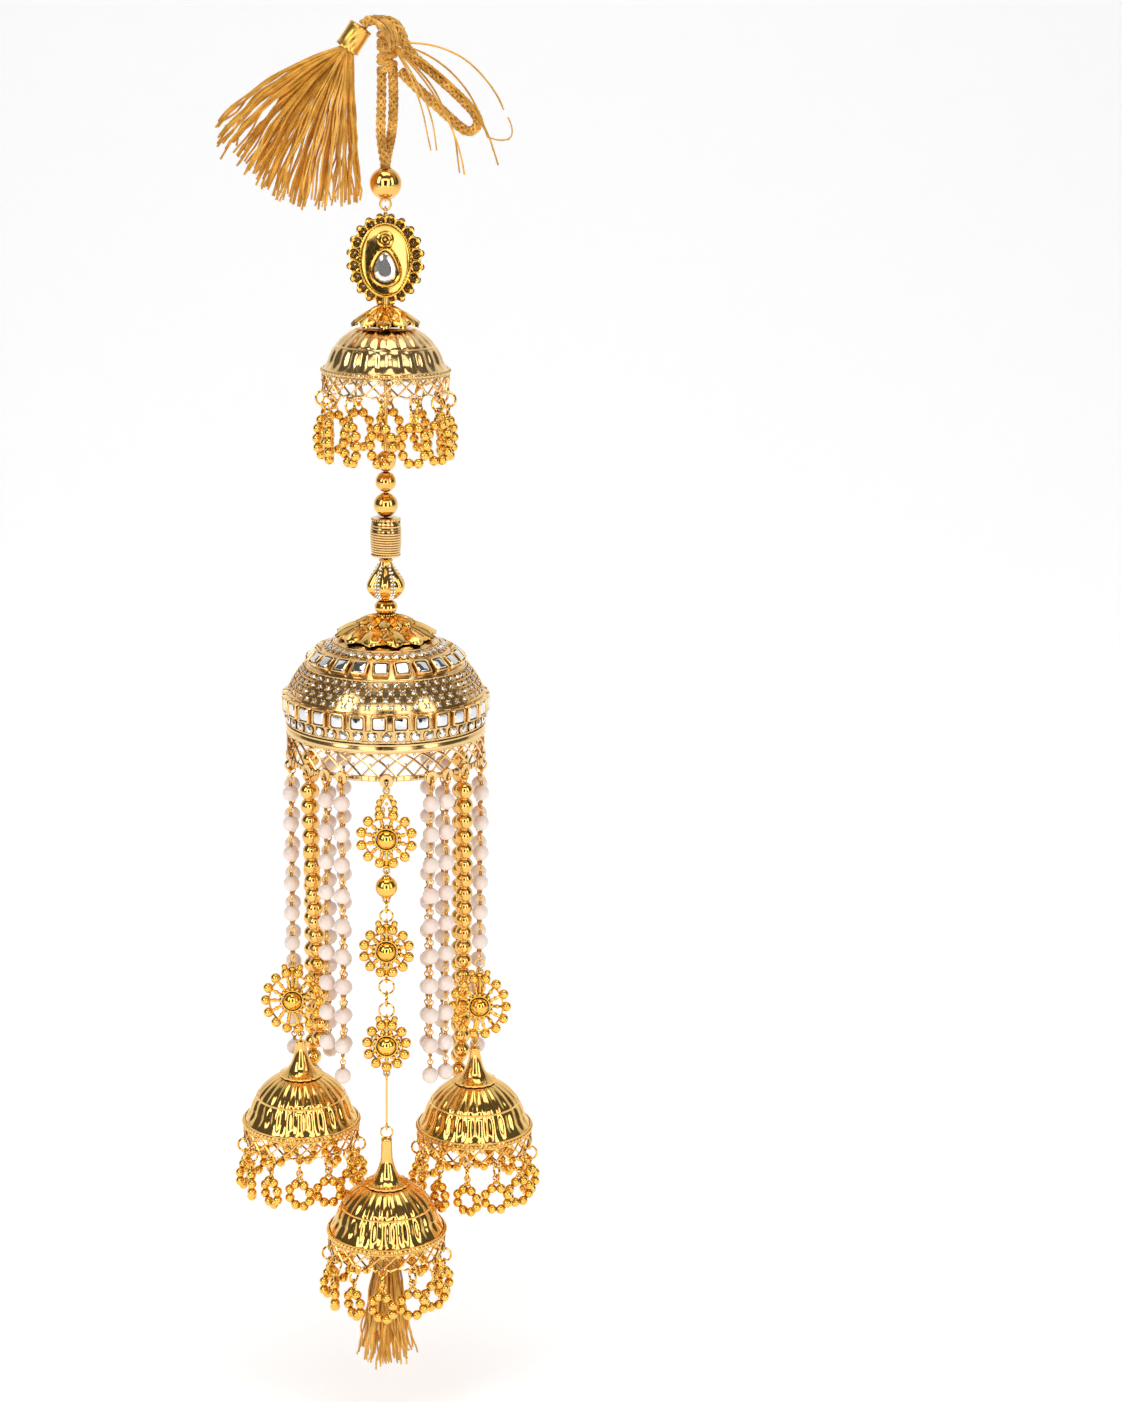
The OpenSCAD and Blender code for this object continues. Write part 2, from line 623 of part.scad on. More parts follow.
thread_eye_z = next_z(flower3_z - eye_offset(lower_rz), eye_r, eye_r);

module flower_upper() {
    flower(6.35, upper_rz, 12, [0, 0, -eye_offset(upper_rz)], false, 0);
    // The tall bail: the chain's first ring runs in the radial plane
    translate([0, 0, chain_drop]) ring_open(eye_r, wire);
    upright(0.7) polygon([[0.4, chain_drop - 0.6], [1.9, upper_rz + 0.4], [1, upper_rz + 0.4],
        [0, chain_drop - 2.4], [-1, upper_rz + 0.4], [-1.9, upper_rz + 0.4], [-0.4, chain_drop - 0.6]]);
}
module flower_middle() { flower(5.7, middle_rz, 12, [0, 0, -eye_offset(middle_rz)], true, 1); }
module flower_lower() { flower(4.9, lower_rz, 11, [0, 0, -eye_offset(lower_rz)], false, 1); }
module chain_bead() {
    sphere(d = front_bead_d);
    translate([0, 0, bead_eye_z - front_bead_z]) ring_edge(eye_r, wire);
    translate([0, 0, bead_low_eye_z - front_bead_z]) ring_open(eye_r, wire);
}
module chain_links() {
    translate([0, 0, link1_z]) ring_edge(link_r, wire);
    translate([0, 0, link2_z]) ring_open(link_r, wire);
    translate([0, 0, ring1_z]) ring_open(long_ring_r, wire);
    translate([0, 0, ring2_z]) ring_edge(long_ring_r, wire);
    translate([0, 0, ring3_z]) ring_open(long_ring_r, wire);
}
module at_chain(z) { translate([chain_x, chain_y, z]) children(); }

// Side flowers, which carry the side bells from an eye at one side of their lower end
left_at = around(main_skirt_r, strand_turn - strand_angles[3]) + [0, 0, left_flower_z];
right_at = around(main_skirt_r, strand_turn + strand_angles[3]) + [0, 0, right_flower_z];
left_eye = [2, 0, -8.9];
right_eye = [-1.1, 0, -9.2];
module side_flower(at, eye) {
    color(gold) translate(at) flower(6.85, side_rz, 14, eye, false, 2);
}

// Lower bells and where they hang
side_drop = next_z(0, eye_r, apex_ring_r) - apex_ring_r - 0.1 - side_pin;
left_bell_at = left_at + left_eye + [0, 0, side_drop];
right_bell_at = right_at + right_eye + [0, 0, side_drop];
centre_ring_r = 1.5;
wire_low_eye_z = -269.6;
centre_ring_z = next_z(wire_low_eye_z, eye_r, centre_ring_r);
centre_bell_at = [chain_x, chain_y, centre_ring_z - centre_pin - centre_ring_r - 0.1];
left_turn = 3.4;
right_turn = 25.2;
centre_turn = 0;
module at_left() { translate(left_bell_at) rotate([0, 0, left_turn]) children(); }
module at_right() { translate(right_bell_at) rotate([0, 0, right_turn]) children(); }
module at_centre() { translate(centre_bell_at) rotate([0, 0, centre_turn]) children(); }

module bell_wire() {
    color(gold) translate([chain_x, chain_y, 0]) {
        translate([0, 0, thread_eye_z]) ring_edge(eye_r, wire);
        translate([0, 0, wire_low_eye_z]) ring_edge(eye_r, wire);
        translate([0, 0, wire_low_eye_z + eye_r])
            cylinder(h = thread_eye_z - wire_low_eye_z - 2 * eye_r, d = 0.5);
    }
}

module centre_tassel() {
    strands = 10;
    golden_angle = 137.5;
    color(thread_gold) translate(centre_bell_at) {
        translate([0, 0, -8]) cylinder(h = 13, d = 4, $fn = 16);
        cylinder(h = 7.8, d = 2, $fn = 12);
        for (k = [0 : strands - 1]) {
            a = golden_angle * k;
            r = 2 + 5.5 * sqrt((k + 0.5) / strands);
            lock([r * cos(a) / 4, r * sin(a) / 4, -5], [r * cos(a), r * sin(a), -38 + 0.4 * r],
                [0, 0, 0], 1.7, 0.9);
        }
    }
}

neck_cords();
tie_loop(-1);  // tie_loop_front
tie_loop(1);  // tie_loop_back
tie_knot();
tassel_ferrule();
tie_tassel();
top_bead();
top_ring();
medallion();
medallion_stone();
upper_cap();
upper_bell();
color(gold) translate([0, 0, upper_rim_z]) skirt_rings(upper_skirt_r);  // upper_rings
color(gold) translate([0, 0, upper_rim_z]) fringe(upper_skirt_r, true);  // upper_fringe
stem_wire();
stem_bead(0);  // stem_bead_upper
stem_bead(1);  // stem_bead_middle
stem_bead(2);  // stem_bead_lower
barrel_bead();
lantern_bead();
flat_bead();
main_cap();
main_dome();
kundan_row(upper_stones, upper_row_r, kundan_upper_z, upper_row_lean);  // kundan_upper
kundan_row(lower_stones, lower_row_r, kundan_lower_z, 0);  // kundan_lower
strand_rings();
outer_pearls(strand_turn - strand_angles[3]);  // outer_pearls_left
outer_wire(strand_turn - strand_angles[3], left_flower_z);  // outer_wire_left
outer_pearls(strand_turn + strand_angles[3]);  // outer_pearls_right
outer_wire(strand_turn + strand_angles[3], right_flower_z);  // outer_wire_right
color(gold) tube(gold_left_route, gold_d);  // gold_strand_left
color(gold) tube(gold_right_route, gold_d);  // gold_strand_right
color(pearl) strand(strand_turn - strand_angles[1], pearl_d, pearl_bottoms[0]);  // pearl_strand_left_outer
color(pearl) strand(strand_turn - strand_angles[0], pearl_d, pearl_bottoms[1]);  // pearl_strand_left_inner
color(pearl) strand(strand_turn + strand_angles[0], pearl_d, pearl_bottoms[2]);  // pearl_strand_right_inner
color(pearl) strand(strand_turn + strand_angles[1], pearl_d, pearl_bottoms[3]);  // pearl_strand_right_outer
color(gold) for (s = [-1, 1])  // back_gold_strands
    strand(strand_turn + s * (180 - strand_angles[2]), gold_d, back_bottom);
color(pearl) for (k = [0, 1, 3])  // back_pearls_left
    strand(strand_turn - 180 + strand_angles[k], pearl_d, k == 3 ? back_outer_bottom : back_bottom);
color(pearl) for (k = [0, 1, 3])  // back_pearls_right
    strand(strand_turn + 180 - strand_angles[k], pearl_d, k == 3 ? back_outer_bottom : back_bottom);
color(gold) at_chain(flower1_z) flower_upper();  // front_flower_upper
color(gold) at_chain(front_bead_z) chain_bead();  // front_bead
color(gold) at_chain(flower2_z) flower_middle();  // front_flower_middle
color(gold) at_chain(0) chain_links();  // front_links
color(gold) at_chain(flower3_z) flower_lower();  // front_flower_lower
bell_wire();
side_flower(left_at, left_eye);  // side_flower_left
side_flower(right_at, right_eye);  // side_flower_right
color(gold) at_left() lower_bell(side_pin, apex_ring_r, -left_turn);  // left_bell
color(gold) at_left() skirt_rings(skirt_r);  // left_rings
color(gold) at_left() fringe(skirt_r);  // left_fringe
color(gold) at_right() lower_bell(side_pin, apex_ring_r, -right_turn);  // right_bell
color(gold) at_right() skirt_rings(skirt_r);  // right_rings
color(gold) at_right() fringe(skirt_r);  // right_fringe
color(gold) at_centre() lower_bell(centre_pin, centre_ring_r, 90 - centre_turn);  // centre_bell
color(gold) at_centre() skirt_rings(skirt_r);  // centre_rings
color(gold) at_centre() fringe(skirt_r);  // centre_fringe
centre_tassel();
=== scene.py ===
import math
import bpy
import numpy as np
from mathutils import Matrix, Vector


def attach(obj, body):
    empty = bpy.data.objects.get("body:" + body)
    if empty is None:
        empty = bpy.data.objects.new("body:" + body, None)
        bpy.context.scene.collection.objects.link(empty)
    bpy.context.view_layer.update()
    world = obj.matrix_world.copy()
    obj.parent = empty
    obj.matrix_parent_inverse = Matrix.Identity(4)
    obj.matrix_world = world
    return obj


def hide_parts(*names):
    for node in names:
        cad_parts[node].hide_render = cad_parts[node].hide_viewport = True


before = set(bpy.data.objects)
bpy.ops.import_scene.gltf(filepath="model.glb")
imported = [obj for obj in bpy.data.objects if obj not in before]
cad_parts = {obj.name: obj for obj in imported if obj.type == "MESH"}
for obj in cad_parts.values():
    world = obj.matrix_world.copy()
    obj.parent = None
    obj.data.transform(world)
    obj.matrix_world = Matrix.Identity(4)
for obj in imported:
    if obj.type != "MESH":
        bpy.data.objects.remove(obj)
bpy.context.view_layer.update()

# Kalire bridal ornament. Lengths in this script are millimetres, as in the CAD, and meshes are
# written in metres. Angles are degrees: around() counts from the front, pol() from +X.
MM = 0.001
TAU = 2 * math.pi
rng = np.random.default_rng(7)


# ---------------------------------------------------------------- camera
CAMERA_AT = (0.043762, -0.655516, -0.004595)    # metres
CAMERA_PITCH, CAMERA_ROLL, FOCAL_LENGTH = 13.8, 0.86, 69.33
pitch, roll = math.radians(CAMERA_PITCH), math.radians(CAMERA_ROLL)
forward = Vector((0, math.cos(pitch), -math.sin(pitch)))
level, upward = Vector((1, 0, 0)), Vector((0, math.sin(pitch), math.cos(pitch)))
right = math.cos(roll) * level + math.sin(roll) * upward
up = -math.sin(roll) * level + math.cos(roll) * upward
camera = bpy.data.objects.new("camera", bpy.data.cameras.new("camera"))
bpy.context.scene.collection.objects.link(camera)
camera.matrix_world = Matrix([(right[i], up[i], -forward[i], CAMERA_AT[i]) for i in range(3)] + [(0, 0, 0, 1)])
camera.data.lens = FOCAL_LENGTH
camera.data.sensor_width = 36
camera.data.clip_end = 20
bpy.context.scene.camera = camera


# ---------------------------------------------------------------- mesh building
def vec(*p):
    return np.array(p, float)


def unit(v):
    return v / np.linalg.norm(v)


def cosd(angle):
    return math.cos(math.radians(angle))


def sind(angle):
    return math.sin(math.radians(angle))


def around(r, angle, z=0.0):
    """A point at an angle from the front, as the dome's strands are placed."""
    return vec(r * sind(angle), -r * cosd(angle), z)


def pol(r, angle, z):
    """A point at an angle from +X, as the bells' parts are placed."""
    return vec(r * cosd(angle), r * sind(angle), z)


def turn(axis, angle):
    return np.array(Matrix.Rotation(math.radians(angle), 4, axis))


def move(x, y, z):
    return np.array(Matrix.Translation((x, y, z)))


def size(x, y, z):
    return np.diag([x, y, z, 1.0])


def smooth_path(points, step):
    """Points about a step apart on a Catmull-Rom curve through the given ones."""
    p = np.array(points, float)
    p = np.vstack([2 * p[0] - p[1], p, 2 * p[-1] - p[-2]])
    out = []
    for i in range(1, len(p) - 2):
        n = max(1, int(round(np.linalg.norm(p[i + 1] - p[i]) / step)))
        t = (np.arange(n) / n)[:, None]
        a, b, c, d = p[i - 1], p[i], p[i + 1], p[i + 2]
        out.append(0.5 * (2 * b + (c - a) * t + (2 * a - 5 * b + 4 * c - d) * t**2
                          + (3 * b - a - 3 * c + d) * t**3))
    return np.vstack(out + [p[-2:-1]])


def run_lengths(p):
    """The length along a path at each of its points."""
    return np.concatenate([[0], np.cumsum(np.linalg.norm(np.diff(p, axis=0), axis=1))])


def frames(p, closed=False):
    """Two normals along a path, carried along without twist."""
    t = np.roll(p, -1, 0) - np.roll(p, 1, 0) if closed else np.gradient(p, axis=0)
    t = t / np.linalg.norm(t, axis=1)[:, None]
    start = np.cross(t[0], (0, 0, 1.0))
    if np.linalg.norm(start) < 0.1:
        start = np.cross(t[0], (1.0, 0, 0))
    u = [unit(start)]
    for k in range(1, len(p)):
        u.append(unit(u[-1] - t[k] * np.dot(u[-1], t[k])))
    u = np.array(u)
    return u, np.cross(t, u)


class Shape:
    """Vertices in millimetres with faces, each face with a material number."""

    def __init__(self):
        self.verts, self.faces, self.mats, self.count = [], [], [], 0

    def add(self, verts, faces, mat=0):
        verts = np.asarray(verts, float).reshape(-1, 3)
        if isinstance(faces, np.ndarray):
            faces = (faces + self.count).tolist()
        else:
            faces = [[i + self.count for i in f] for f in faces]
        self.verts.append(verts)
        self.faces += faces
        self.mats += [mat] * len(faces)
        self.count += len(verts)
        return self

    def merged(self):
        if len(self.verts) > 1:
            self.verts = [np.vstack(self.verts)]
        return self.verts[0] if self.verts else np.zeros((0, 3))

    def put(self, other, *matrices):
        """Another shape, moved by the product of the matrices."""
        m = np.eye(4)
        for x in matrices:
            m = m @ x
        v = other.merged() @ m[:3, :3].T + m[:3, 3]
        self.faces += [[i + self.count for i in f] for f in other.faces]
        self.mats += list(other.mats)
        self.verts.append(v)
        self.count += len(v)
        return self

    def grid(self, points, closed_rows=False, mat=0):
        """Quads over rings of points. They face outward when the rings run down and each ring
        runs counterclockwise."""
        rows, cols = points.shape[:2]
        i = np.arange(rows if closed_rows else rows - 1)[:, None]
        k = np.arange(cols)[None, :]
        i2, k2 = (i + 1) % rows, (k + 1) % cols
        quads = np.stack([i * cols + k, i2 * cols + k, i2 * cols + k2, i * cols + k2], -1).reshape(-1, 4)
        return self.add(points.reshape(-1, 3), quads, mat)

    def close_ends(self, base, rows, n, mat=0):
        """Flat faces over the first and last rings of a grid whose first point is base."""
        self.faces += [[base + k for k in range(n)],
                       [base + (rows - 1) * n + k for k in range(n - 1, -1, -1)]]
        self.mats += [mat, mat]
        return self

    def tube(self, path, radius, sides=6, closed=False, mat=0, flat=1.0):
        """A wire along a path. radius is one number, or one for each point."""
        p = np.asarray(path, float)
        u, v = frames(p, closed)
        n = len(p)
        a = np.arange(sides) * TAU / sides
        r = np.broadcast_to(np.asarray(radius, float), (n,))[:, None, None]
        ring = p[:, None] + r * (np.cos(a)[None, :, None] * u[:, None]
                                 + flat * np.sin(a)[None, :, None] * v[:, None])
        base = self.count
        self.grid(ring[::-1], closed, mat)
        return self if closed else self.close_ends(base, n, sides, mat)

    def ball(self, centre, r, seg=12, rows=8, mat=0, scale=(1, 1, 1)):
        t = np.arange(1, rows) * math.pi / rows
        a = np.arange(seg) * TAU / seg
        v = np.stack([np.sin(t)[:, None] * np.cos(a), np.sin(t)[:, None] * np.sin(a),
                      np.cos(t)[:, None] * np.ones(seg)], -1)
        s = np.array(scale) * r
        base = self.count
        self.grid(v * s + centre, mat=mat)
        n = (rows - 1) * seg
        self.add(vec([0, 0, s[2]]) + centre, [], mat)
        self.add(vec([0, 0, -s[2]]) + centre, [], mat)
        self.faces += [[base + n, base + k, base + (k + 1) % seg] for k in range(seg)]
        low = base + (rows - 2) * seg
        self.faces += [[base + n + 1, low + (k + 1) % seg, low + k] for k in range(seg)]
        self.mats += [mat] * (2 * seg)
        return self

    def ring(self, centre, R, r, hole=(0, 1, 0), seg=24, sides=8, mat=0, rz=None):
        """A round or oval wire ring whose hole faces the given way."""
        h = unit(np.array(hole, float))
        side = np.cross(h, (0, 0, 1.0))
        side = vec(1, 0, 0) if np.linalg.norm(side) < 0.1 else unit(side)
        top = np.cross(side, h)
        a = (np.arange(seg) * TAU / seg)[:, None]
        return self.tube(centre + R * np.cos(a) * side + (rz or R) * np.sin(a) * top, r, sides, True, mat)

    def revolve(self, profile, seg, lobes=None):
        """A closed turned form through (r, z), down the outside and up the inside.
        lobes(row, angle) is added to the radius."""
        p = np.array(profile, float)
        a = np.arange(seg) * TAU / seg
        r = np.repeat(p[:, :1], seg, 1)
        if lobes is not None:
            r = r + np.array([lobes(i, a) for i in range(len(p))])
        pts = np.stack([r * np.cos(a), r * np.sin(a), np.repeat(p[:, 1:2], seg, 1)], -1)
        return self.grid(pts, True)


def drilled_ball(r, start, rows, hole_r, sunk, seg):
    """A ball with a hole along Z. Its outside starts at an angle from the pole, in radians."""
    return Shape().revolve([(r * math.sin(t), r * math.cos(t)) for t in np.linspace(start, math.pi - start, rows)]
                           + [(hole_r, sunk - r), (hole_r, r - sunk)], seg)


def make(name, shape, body, mats, replaces=(), sharp=38):
    mesh = bpy.data.meshes.new(name)
    mesh.from_pydata((shape.merged() * MM).tolist(), [], shape.faces)
    for m in mats:
        mesh.materials.append(m)
    mesh.polygons.foreach_set("material_index", shape.mats)
    mesh.polygons.foreach_set("use_smooth", [True] * len(mesh.polygons))
    mesh.set_sharp_from_angle(angle=math.radians(sharp))
    mesh.update()
    obj = bpy.data.objects.new(name, mesh)
    bpy.context.scene.collection.objects.link(obj)
    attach(obj, body)
    if replaces:
        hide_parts(*replaces)
    return obj


# ---------------------------------------------------------------- materials
class Nodes:
    """A small helper that adds and links the nodes of one material."""

    def __init__(self, name):
        self.mat = bpy.data.materials.new(name)
        self.mat.use_nodes = True
        self.tree = self.mat.node_tree
        self.bsdf = self.tree.nodes["Principled BSDF"]
        self.coords = self.tree.nodes.new("ShaderNodeTexCoord").outputs["Object"]

    def new(self, kind, **values):
        node = self.tree.nodes.new(kind)
        for key, value in values.items():
            if hasattr(node, key):
                setattr(node, key, value)
            else:
                node.inputs[key.replace("_", " ")].default_value = value
        return node

    def link(self, a, b):
        self.tree.links.new(a, b)

    def noise(self, scale, detail=3.0, rough=0.5):
        """Noise on the object's own coordinates, with its scale per metre."""
        node = self.new("ShaderNodeTexNoise", Scale=scale, Detail=detail, Roughness=rough)
        self.link(self.coords, node.inputs["Vector"])
        return node.outputs["Fac"]

    def span(self, value, a, b, low, high):
        node = self.new("ShaderNodeMapRange")
        node.inputs["From Min"].default_value, node.inputs["From Max"].default_value = a, b
        node.inputs["To Min"].default_value, node.inputs["To Max"].default_value = low, high
        self.link(value, node.inputs["Value"])
        return node.outputs["Result"]

    def mix(self, fac, a, b):
        node = self.new("ShaderNodeMix", data_type="RGBA")
        for value, socket in ((fac, node.inputs[0]), (a, node.inputs[6]), (b, node.inputs[7])):
            if isinstance(value, tuple):
                socket.default_value = (*value, 1)
            else:
                self.link(value, socket)
        return node.outputs[2]

    def set(self, **values):
        for key, value in values.items():
            self.bsdf.inputs[key.replace("_", " ")].default_value = (
                (*value, 1) if key.endswith("Color") else value)

    def drive(self, key, value):
        self.link(value, self.bsdf.inputs[key])

    def bump(self, height, strength, distance):
        node = self.new("ShaderNodeBump", Strength=strength, Distance=distance)
        self.link(height, node.inputs["Height"])
        self.link(node.outputs["Normal"], self.bsdf.inputs["Normal"])


def gold(name, colour, painted_shade_colour, rough, spread, hollow=0.0012, dent=0.14):
    """Gold with hand-made unevenness, fine scratches and painted shade: its colour darkens in its hollows where
    ambient occlusion finds them.
    """
    n = Nodes(name)
    n.set(Metallic=1.0)
    ao = n.new("ShaderNodeAmbientOcclusion", samples=6, Distance=hollow)
    worn = tuple(c * k for c, k in zip(colour, (0.94, 0.9, 0.82)))
    tint = n.mix(n.span(n.noise(140), 0.35, 0.65, 0, 1), colour, worn)
    # painted shade: the base colour goes towards the dark shade colour in occluded hollows
    n.drive("Base Color", n.mix(n.span(ao.outputs["AO"], 0.25, 0.85, 0, 1), painted_shade_colour, tint))
    n.drive("Roughness", n.span(n.noise(900, 4), 0.3, 0.75, rough, rough + spread))
    n.bump(n.noise(420, 2), dent, 0.00012)
    return n.mat


# The second colour of each gold is the painted shade colour for its hollows.
GOLD = gold("polished_gold", (0.98, 0.61, 0.18), (0.36, 0.15, 0.02), 0.06, 0.1)
DEEP = gold("deep_gold", (1.0, 0.62, 0.13), (0.34, 0.13, 0.01), 0.07, 0.1)
ANTIQUE = gold("antique_gold", (0.97, 0.67, 0.30), (0.28, 0.13, 0.03), 0.1, 0.14, 0.0014)
SATIN = gold("satin_gold", (0.95, 0.56, 0.13), (0.4, 0.18, 0.03), 0.24, 0.12, dent=0.1)


def pearl_material():
    n = Nodes("pearl")
    cloud = n.noise(160, 2)
    n.drive("Base Color", n.mix(n.span(cloud, 0.35, 0.65, 0, 1), (0.98, 0.84, 0.75), (0.95, 0.76, 0.67)))
    n.set(Roughness=0.22, Subsurface_Weight=0.12, Subsurface_Radius=(1.0, 0.7, 0.55), Subsurface_Scale=0.0008,
          Coat_Weight=0.7, Coat_Roughness=0.1, Sheen_Weight=0.15, Specular_IOR_Level=0.6)
    n.bump(n.noise(900, 2), 0.05, 0.00005)
    return n.mat


def thread_material(name, bright, dark, shine):
    """Metallic thread: fine glints along a silky strand."""
    n = Nodes(name)
    glint = n.noise(2600, 2, 0.6)
    patch = n.span(n.noise(240, 3), 0.3, 0.7, 0, 1)
    n.drive("Base Color", n.mix(patch, bright, dark))
    n.drive("Roughness", n.span(glint, 0.3, 0.7, 0.22, 0.5))
    n.set(Metallic=shine, Sheen_Weight=0.25, Sheen_Roughness=0.4)
    n.bump(glint, 0.5, 0.00008)
    return n.mat


def stone_material(name, colour, rough, metal):
    """A foiled clear stone: bright, with small cloudy changes under a clear coat."""
    n = Nodes(name)
    n.drive("Base Color", n.mix(n.span(n.noise(300, 2), 0.35, 0.65, 0, 1), colour,
                                tuple(c * 0.82 for c in colour)))
    n.set(Metallic=metal, Coat_Weight=1.0, Coat_Roughness=0.02, IOR=1.6)
    n.drive("Roughness", n.span(n.noise(800, 2), 0.3, 0.7, rough, rough + 0.06))
    return n.mat


PEARL = pearl_material()
THREAD = thread_material("gold_thread", (1.0, 0.56, 0.09), (0.58, 0.27, 0.025), 0.25)
BRAID = thread_material("gold_braid", (1.0, 0.58, 0.13), (0.48, 0.22, 0.025), 0.45)
MIRROR = stone_material("mirror_stone", (0.92, 0.92, 0.92), 0.03, 1.0)
CLEAR = stone_material("clear_stone", (0.97, 0.96, 0.94), 0.03, 0.8)


# ---------------------------------------------------------------- tie cords
def braid(shape, path, twist=0.0, R=0.74, wave=0.15, r=0.40, lay=6.6):
    """Eight strands, four each way, that pass over and under each other. lay is one turn's length."""
    p = smooth_path(path, 0.27)
    u, v = frames(p)
    s = run_lengths(p)
    turns = TAU * s / lay
    for k in range(4):
        for way in (1, -1):
            phi = twist + TAU * k / 4 + way * turns
            rad = (R + way * wave * np.cos(4 * turns))[:, None]
            shape.tube(p + rad * (np.cos(phi)[:, None] * u + np.sin(phi)[:, None] * v), r, 5)
    return p, float(s[-1])


neck_left = [(0, -1.3, -34.6), (-0.3, -1.3, -32.6), (-0.7, -1.1, -30.4), (-1, -0.8, -28), (-1.1, -0.4, -25),
             (-1, 0, -21), (-0.9, 0, -17), (-0.9, 0, -12.2)]
neck_right = [(0, 1.3, -34.6), (0.3, 1.3, -32.6), (0.8, 1.1, -30.4), (1.3, 0.8, -28), (1.7, 0.4, -25),
              (1.9, 0, -21), (1.9, 0, -17), (1.7, 0, -12.2)]
loop_route = [(-5.3, 0, -2.3), (-4.2, 0, -1.5), (-2.6, 0, -1.2), (-0.8, 0, -1.2), (1, 0, -1.4),
              (2.6, 0, -2.3), (3.7, 0, -4), (4.4, 0, -6), (5.6, 0, -8.2), (7.6, 0, -10.2),
              (10.4, 0, -12.4), (13.4, 0, -14.9), (16.4, 0, -17.5), (19.2, 0, -20.1), (21.2, 0, -22.3),
              (22, 0, -24.2), (21.3, 0, -25.9), (19.6, 0, -26.5), (17.6, 0, -25.4), (14.8, 0, -23),
              (11.8, 0, -20.4), (8.8, 0, -17.8), (6, 0, -15.2), (3.6, 0, -12.8)]
for name, y in (("tie_loop_front", -1.35), ("tie_loop_back", 1.35)):
    cord = Shape()
    line, length = braid(cord, [(x, y, z) for x, _, z in loop_route], twist=y)
    obj = make(f"{name}_braid", cord, "head", [BRAID], [name])

necks = Shape()
braid(necks, neck_left)
braid(necks, neck_right, 1)
necks.tube(smooth_path([(0, 0, -33.9), (0, 0, -42)], 1), 1.12, 12)
for k in range(26):
    necks.ring(vec(0, 0, -34.2 - 0.3 * k), 1.1, 0.17, (0, 0.08, 1), 16, 5)
necks.ring(vec(0, 0, -42.55), 0.68, 0.2, (1, 0, 0), 24, 8, mat=1)
make("neck_cord_braids", necks, "head", [BRAID, GOLD], ["neck_cords"])


# ---------------------------------------------------------------- threads, knot and tie tassel
def strand_of_threads(shape, start, end, bow, count, spread, radii, mat=0, steps=9, wave=0.16):
    """Fine threads from one place to another, each with its own small waver. spread and radii
    hold the value at the start and the value at the end."""
    start, end, bow = vec(*start), vec(*end), vec(*bow)
    along = unit(end - start)
    a = unit(np.cross(along, (0.1, 1, 0.05)))
    b = np.cross(along, a)
    for _ in range(count):
        phi, rho = rng.uniform(0, TAU), math.sqrt(rng.uniform(0, 1))
        off = rho * (math.cos(phi) * a + math.sin(phi) * b)
        t = np.linspace(0, rng.uniform(0.93, 1.0), steps)[:, None]
        p = start + (end - start) * t + bow * 4 * t * (1 - t) + off * (spread[0] + (spread[1] - spread[0]) * t)
        w = rng.normal(0, wave, (2, 3))
        p = p + t * (w[0] * np.sin(TAU * t * 1.3 + phi) + w[1] * np.sin(TAU * t * 2.9 + phi / 2))
        shape.tube(p, np.linspace(*radii, steps), 4, mat=mat)


LOCKS, LOCK_THREADS, LOCK_REACH = 34, 4, 39.5
ferrule_top, ferrule_axis = vec(-5.6, 0, -2.6), vec(-0.55, 0, -0.835)
neck = ferrule_top + ferrule_axis * 6
tassel = Shape()
for i in range(LOCKS):
    f = i / (LOCKS - 1)
    swing = math.radians(4 - 62 * f)
    reach = LOCK_REACH - 3 * (2 * f - 1) ** 2 + rng.uniform(-1, 0.6)
    depth = 5 * math.sin(2.4 * i) - 2
    root = neck + vec(0.9 * math.sin(swing) + 0.3, depth / 8, 0)
    tip = neck + vec(reach * math.sin(swing), depth, -reach * math.cos(swing))
    strand_of_threads(tassel, root, tip, (-2 * f, 0, 1.5 * f + 0.4), LOCK_THREADS, (1.0, rng.uniform(1.0, 2.2)),
                      (0.3, 0.25), steps=16, wave=0.4)
tassel.tube([ferrule_top + ferrule_axis * 1.6, ferrule_top + ferrule_axis * 6.2], 2.35, 16)
make("tie_tassel_threads", tassel, "head", [THREAD], ["tie_tassel"])

ferrule_line = [(1.2, 0.05), (2.6, 0.05), (2.95, 0.25), (3, 0.6), (2.86, 0.8), (2.86, 5.6), (3.0, 5.8),
                (3.0, 6.3), (2.85, 6.4), (2.55, 6.4), (2.5, 5), (2.5, 0.6), (1.2, 0.6)]
tilt = turn("Y", math.degrees(math.atan2(-ferrule_axis[0], -ferrule_axis[2])) + 180)
ferrule = Shape().put(Shape().revolve([(r, -z) for r, z in ferrule_line], 56), move(*ferrule_top), tilt,
                      turn("X", 180))
make("tassel_ferrule_turned", ferrule, "head", [SATIN], ["tassel_ferrule"])

WRAP_R = 1.72
WRAPS = ((-2.9, -8), (-4.3, 6), (-5.9, 10), (-7.6, -7), (-9.3, 9), (-10.9, -8), (-12.4, 6))   # height, tilt
FRAYS = (((-2.4, -2.4, -1.3), (1.8, -3.3, -7.8), (0.8, -0.8, 0.9), 30),                       # start, end,
         ((-0.6, -2.3, -1.0), (3.0, -3.2, -7.2), (0.8, -0.9, 0.8), 24))                       # bow, threads
LOOSE_FROM = (1.4, -1.9, -6.5)
LOOSE_TO = (((29.1, -4, -23.0), (3, 0, 5.5)), ((27.6, -5, -35.4), (4, 0, 3)), ((26.2, -3, -33), (4.4, 0, 2)),
            ((19.5, -6, -38.6), (3.5, -1, 1)), ((18, -5, -36.5), (3.5, 0, 2)),
            ((11.1, -7, -32.2), (1.6, -1, 1)), ((12.4, -7, -31), (2.4, -1, 0)),
            ((24.6, -3.6, -28.6), (3, 0, 4.5)))                                               # end, bow
HOOK = [(29.1, -4, -23), (29.8, -4, -24.3), (30.2, -4, -26), (30.0, -4, -27.4), (29.2, -4, -28.0)]
knot = Shape()
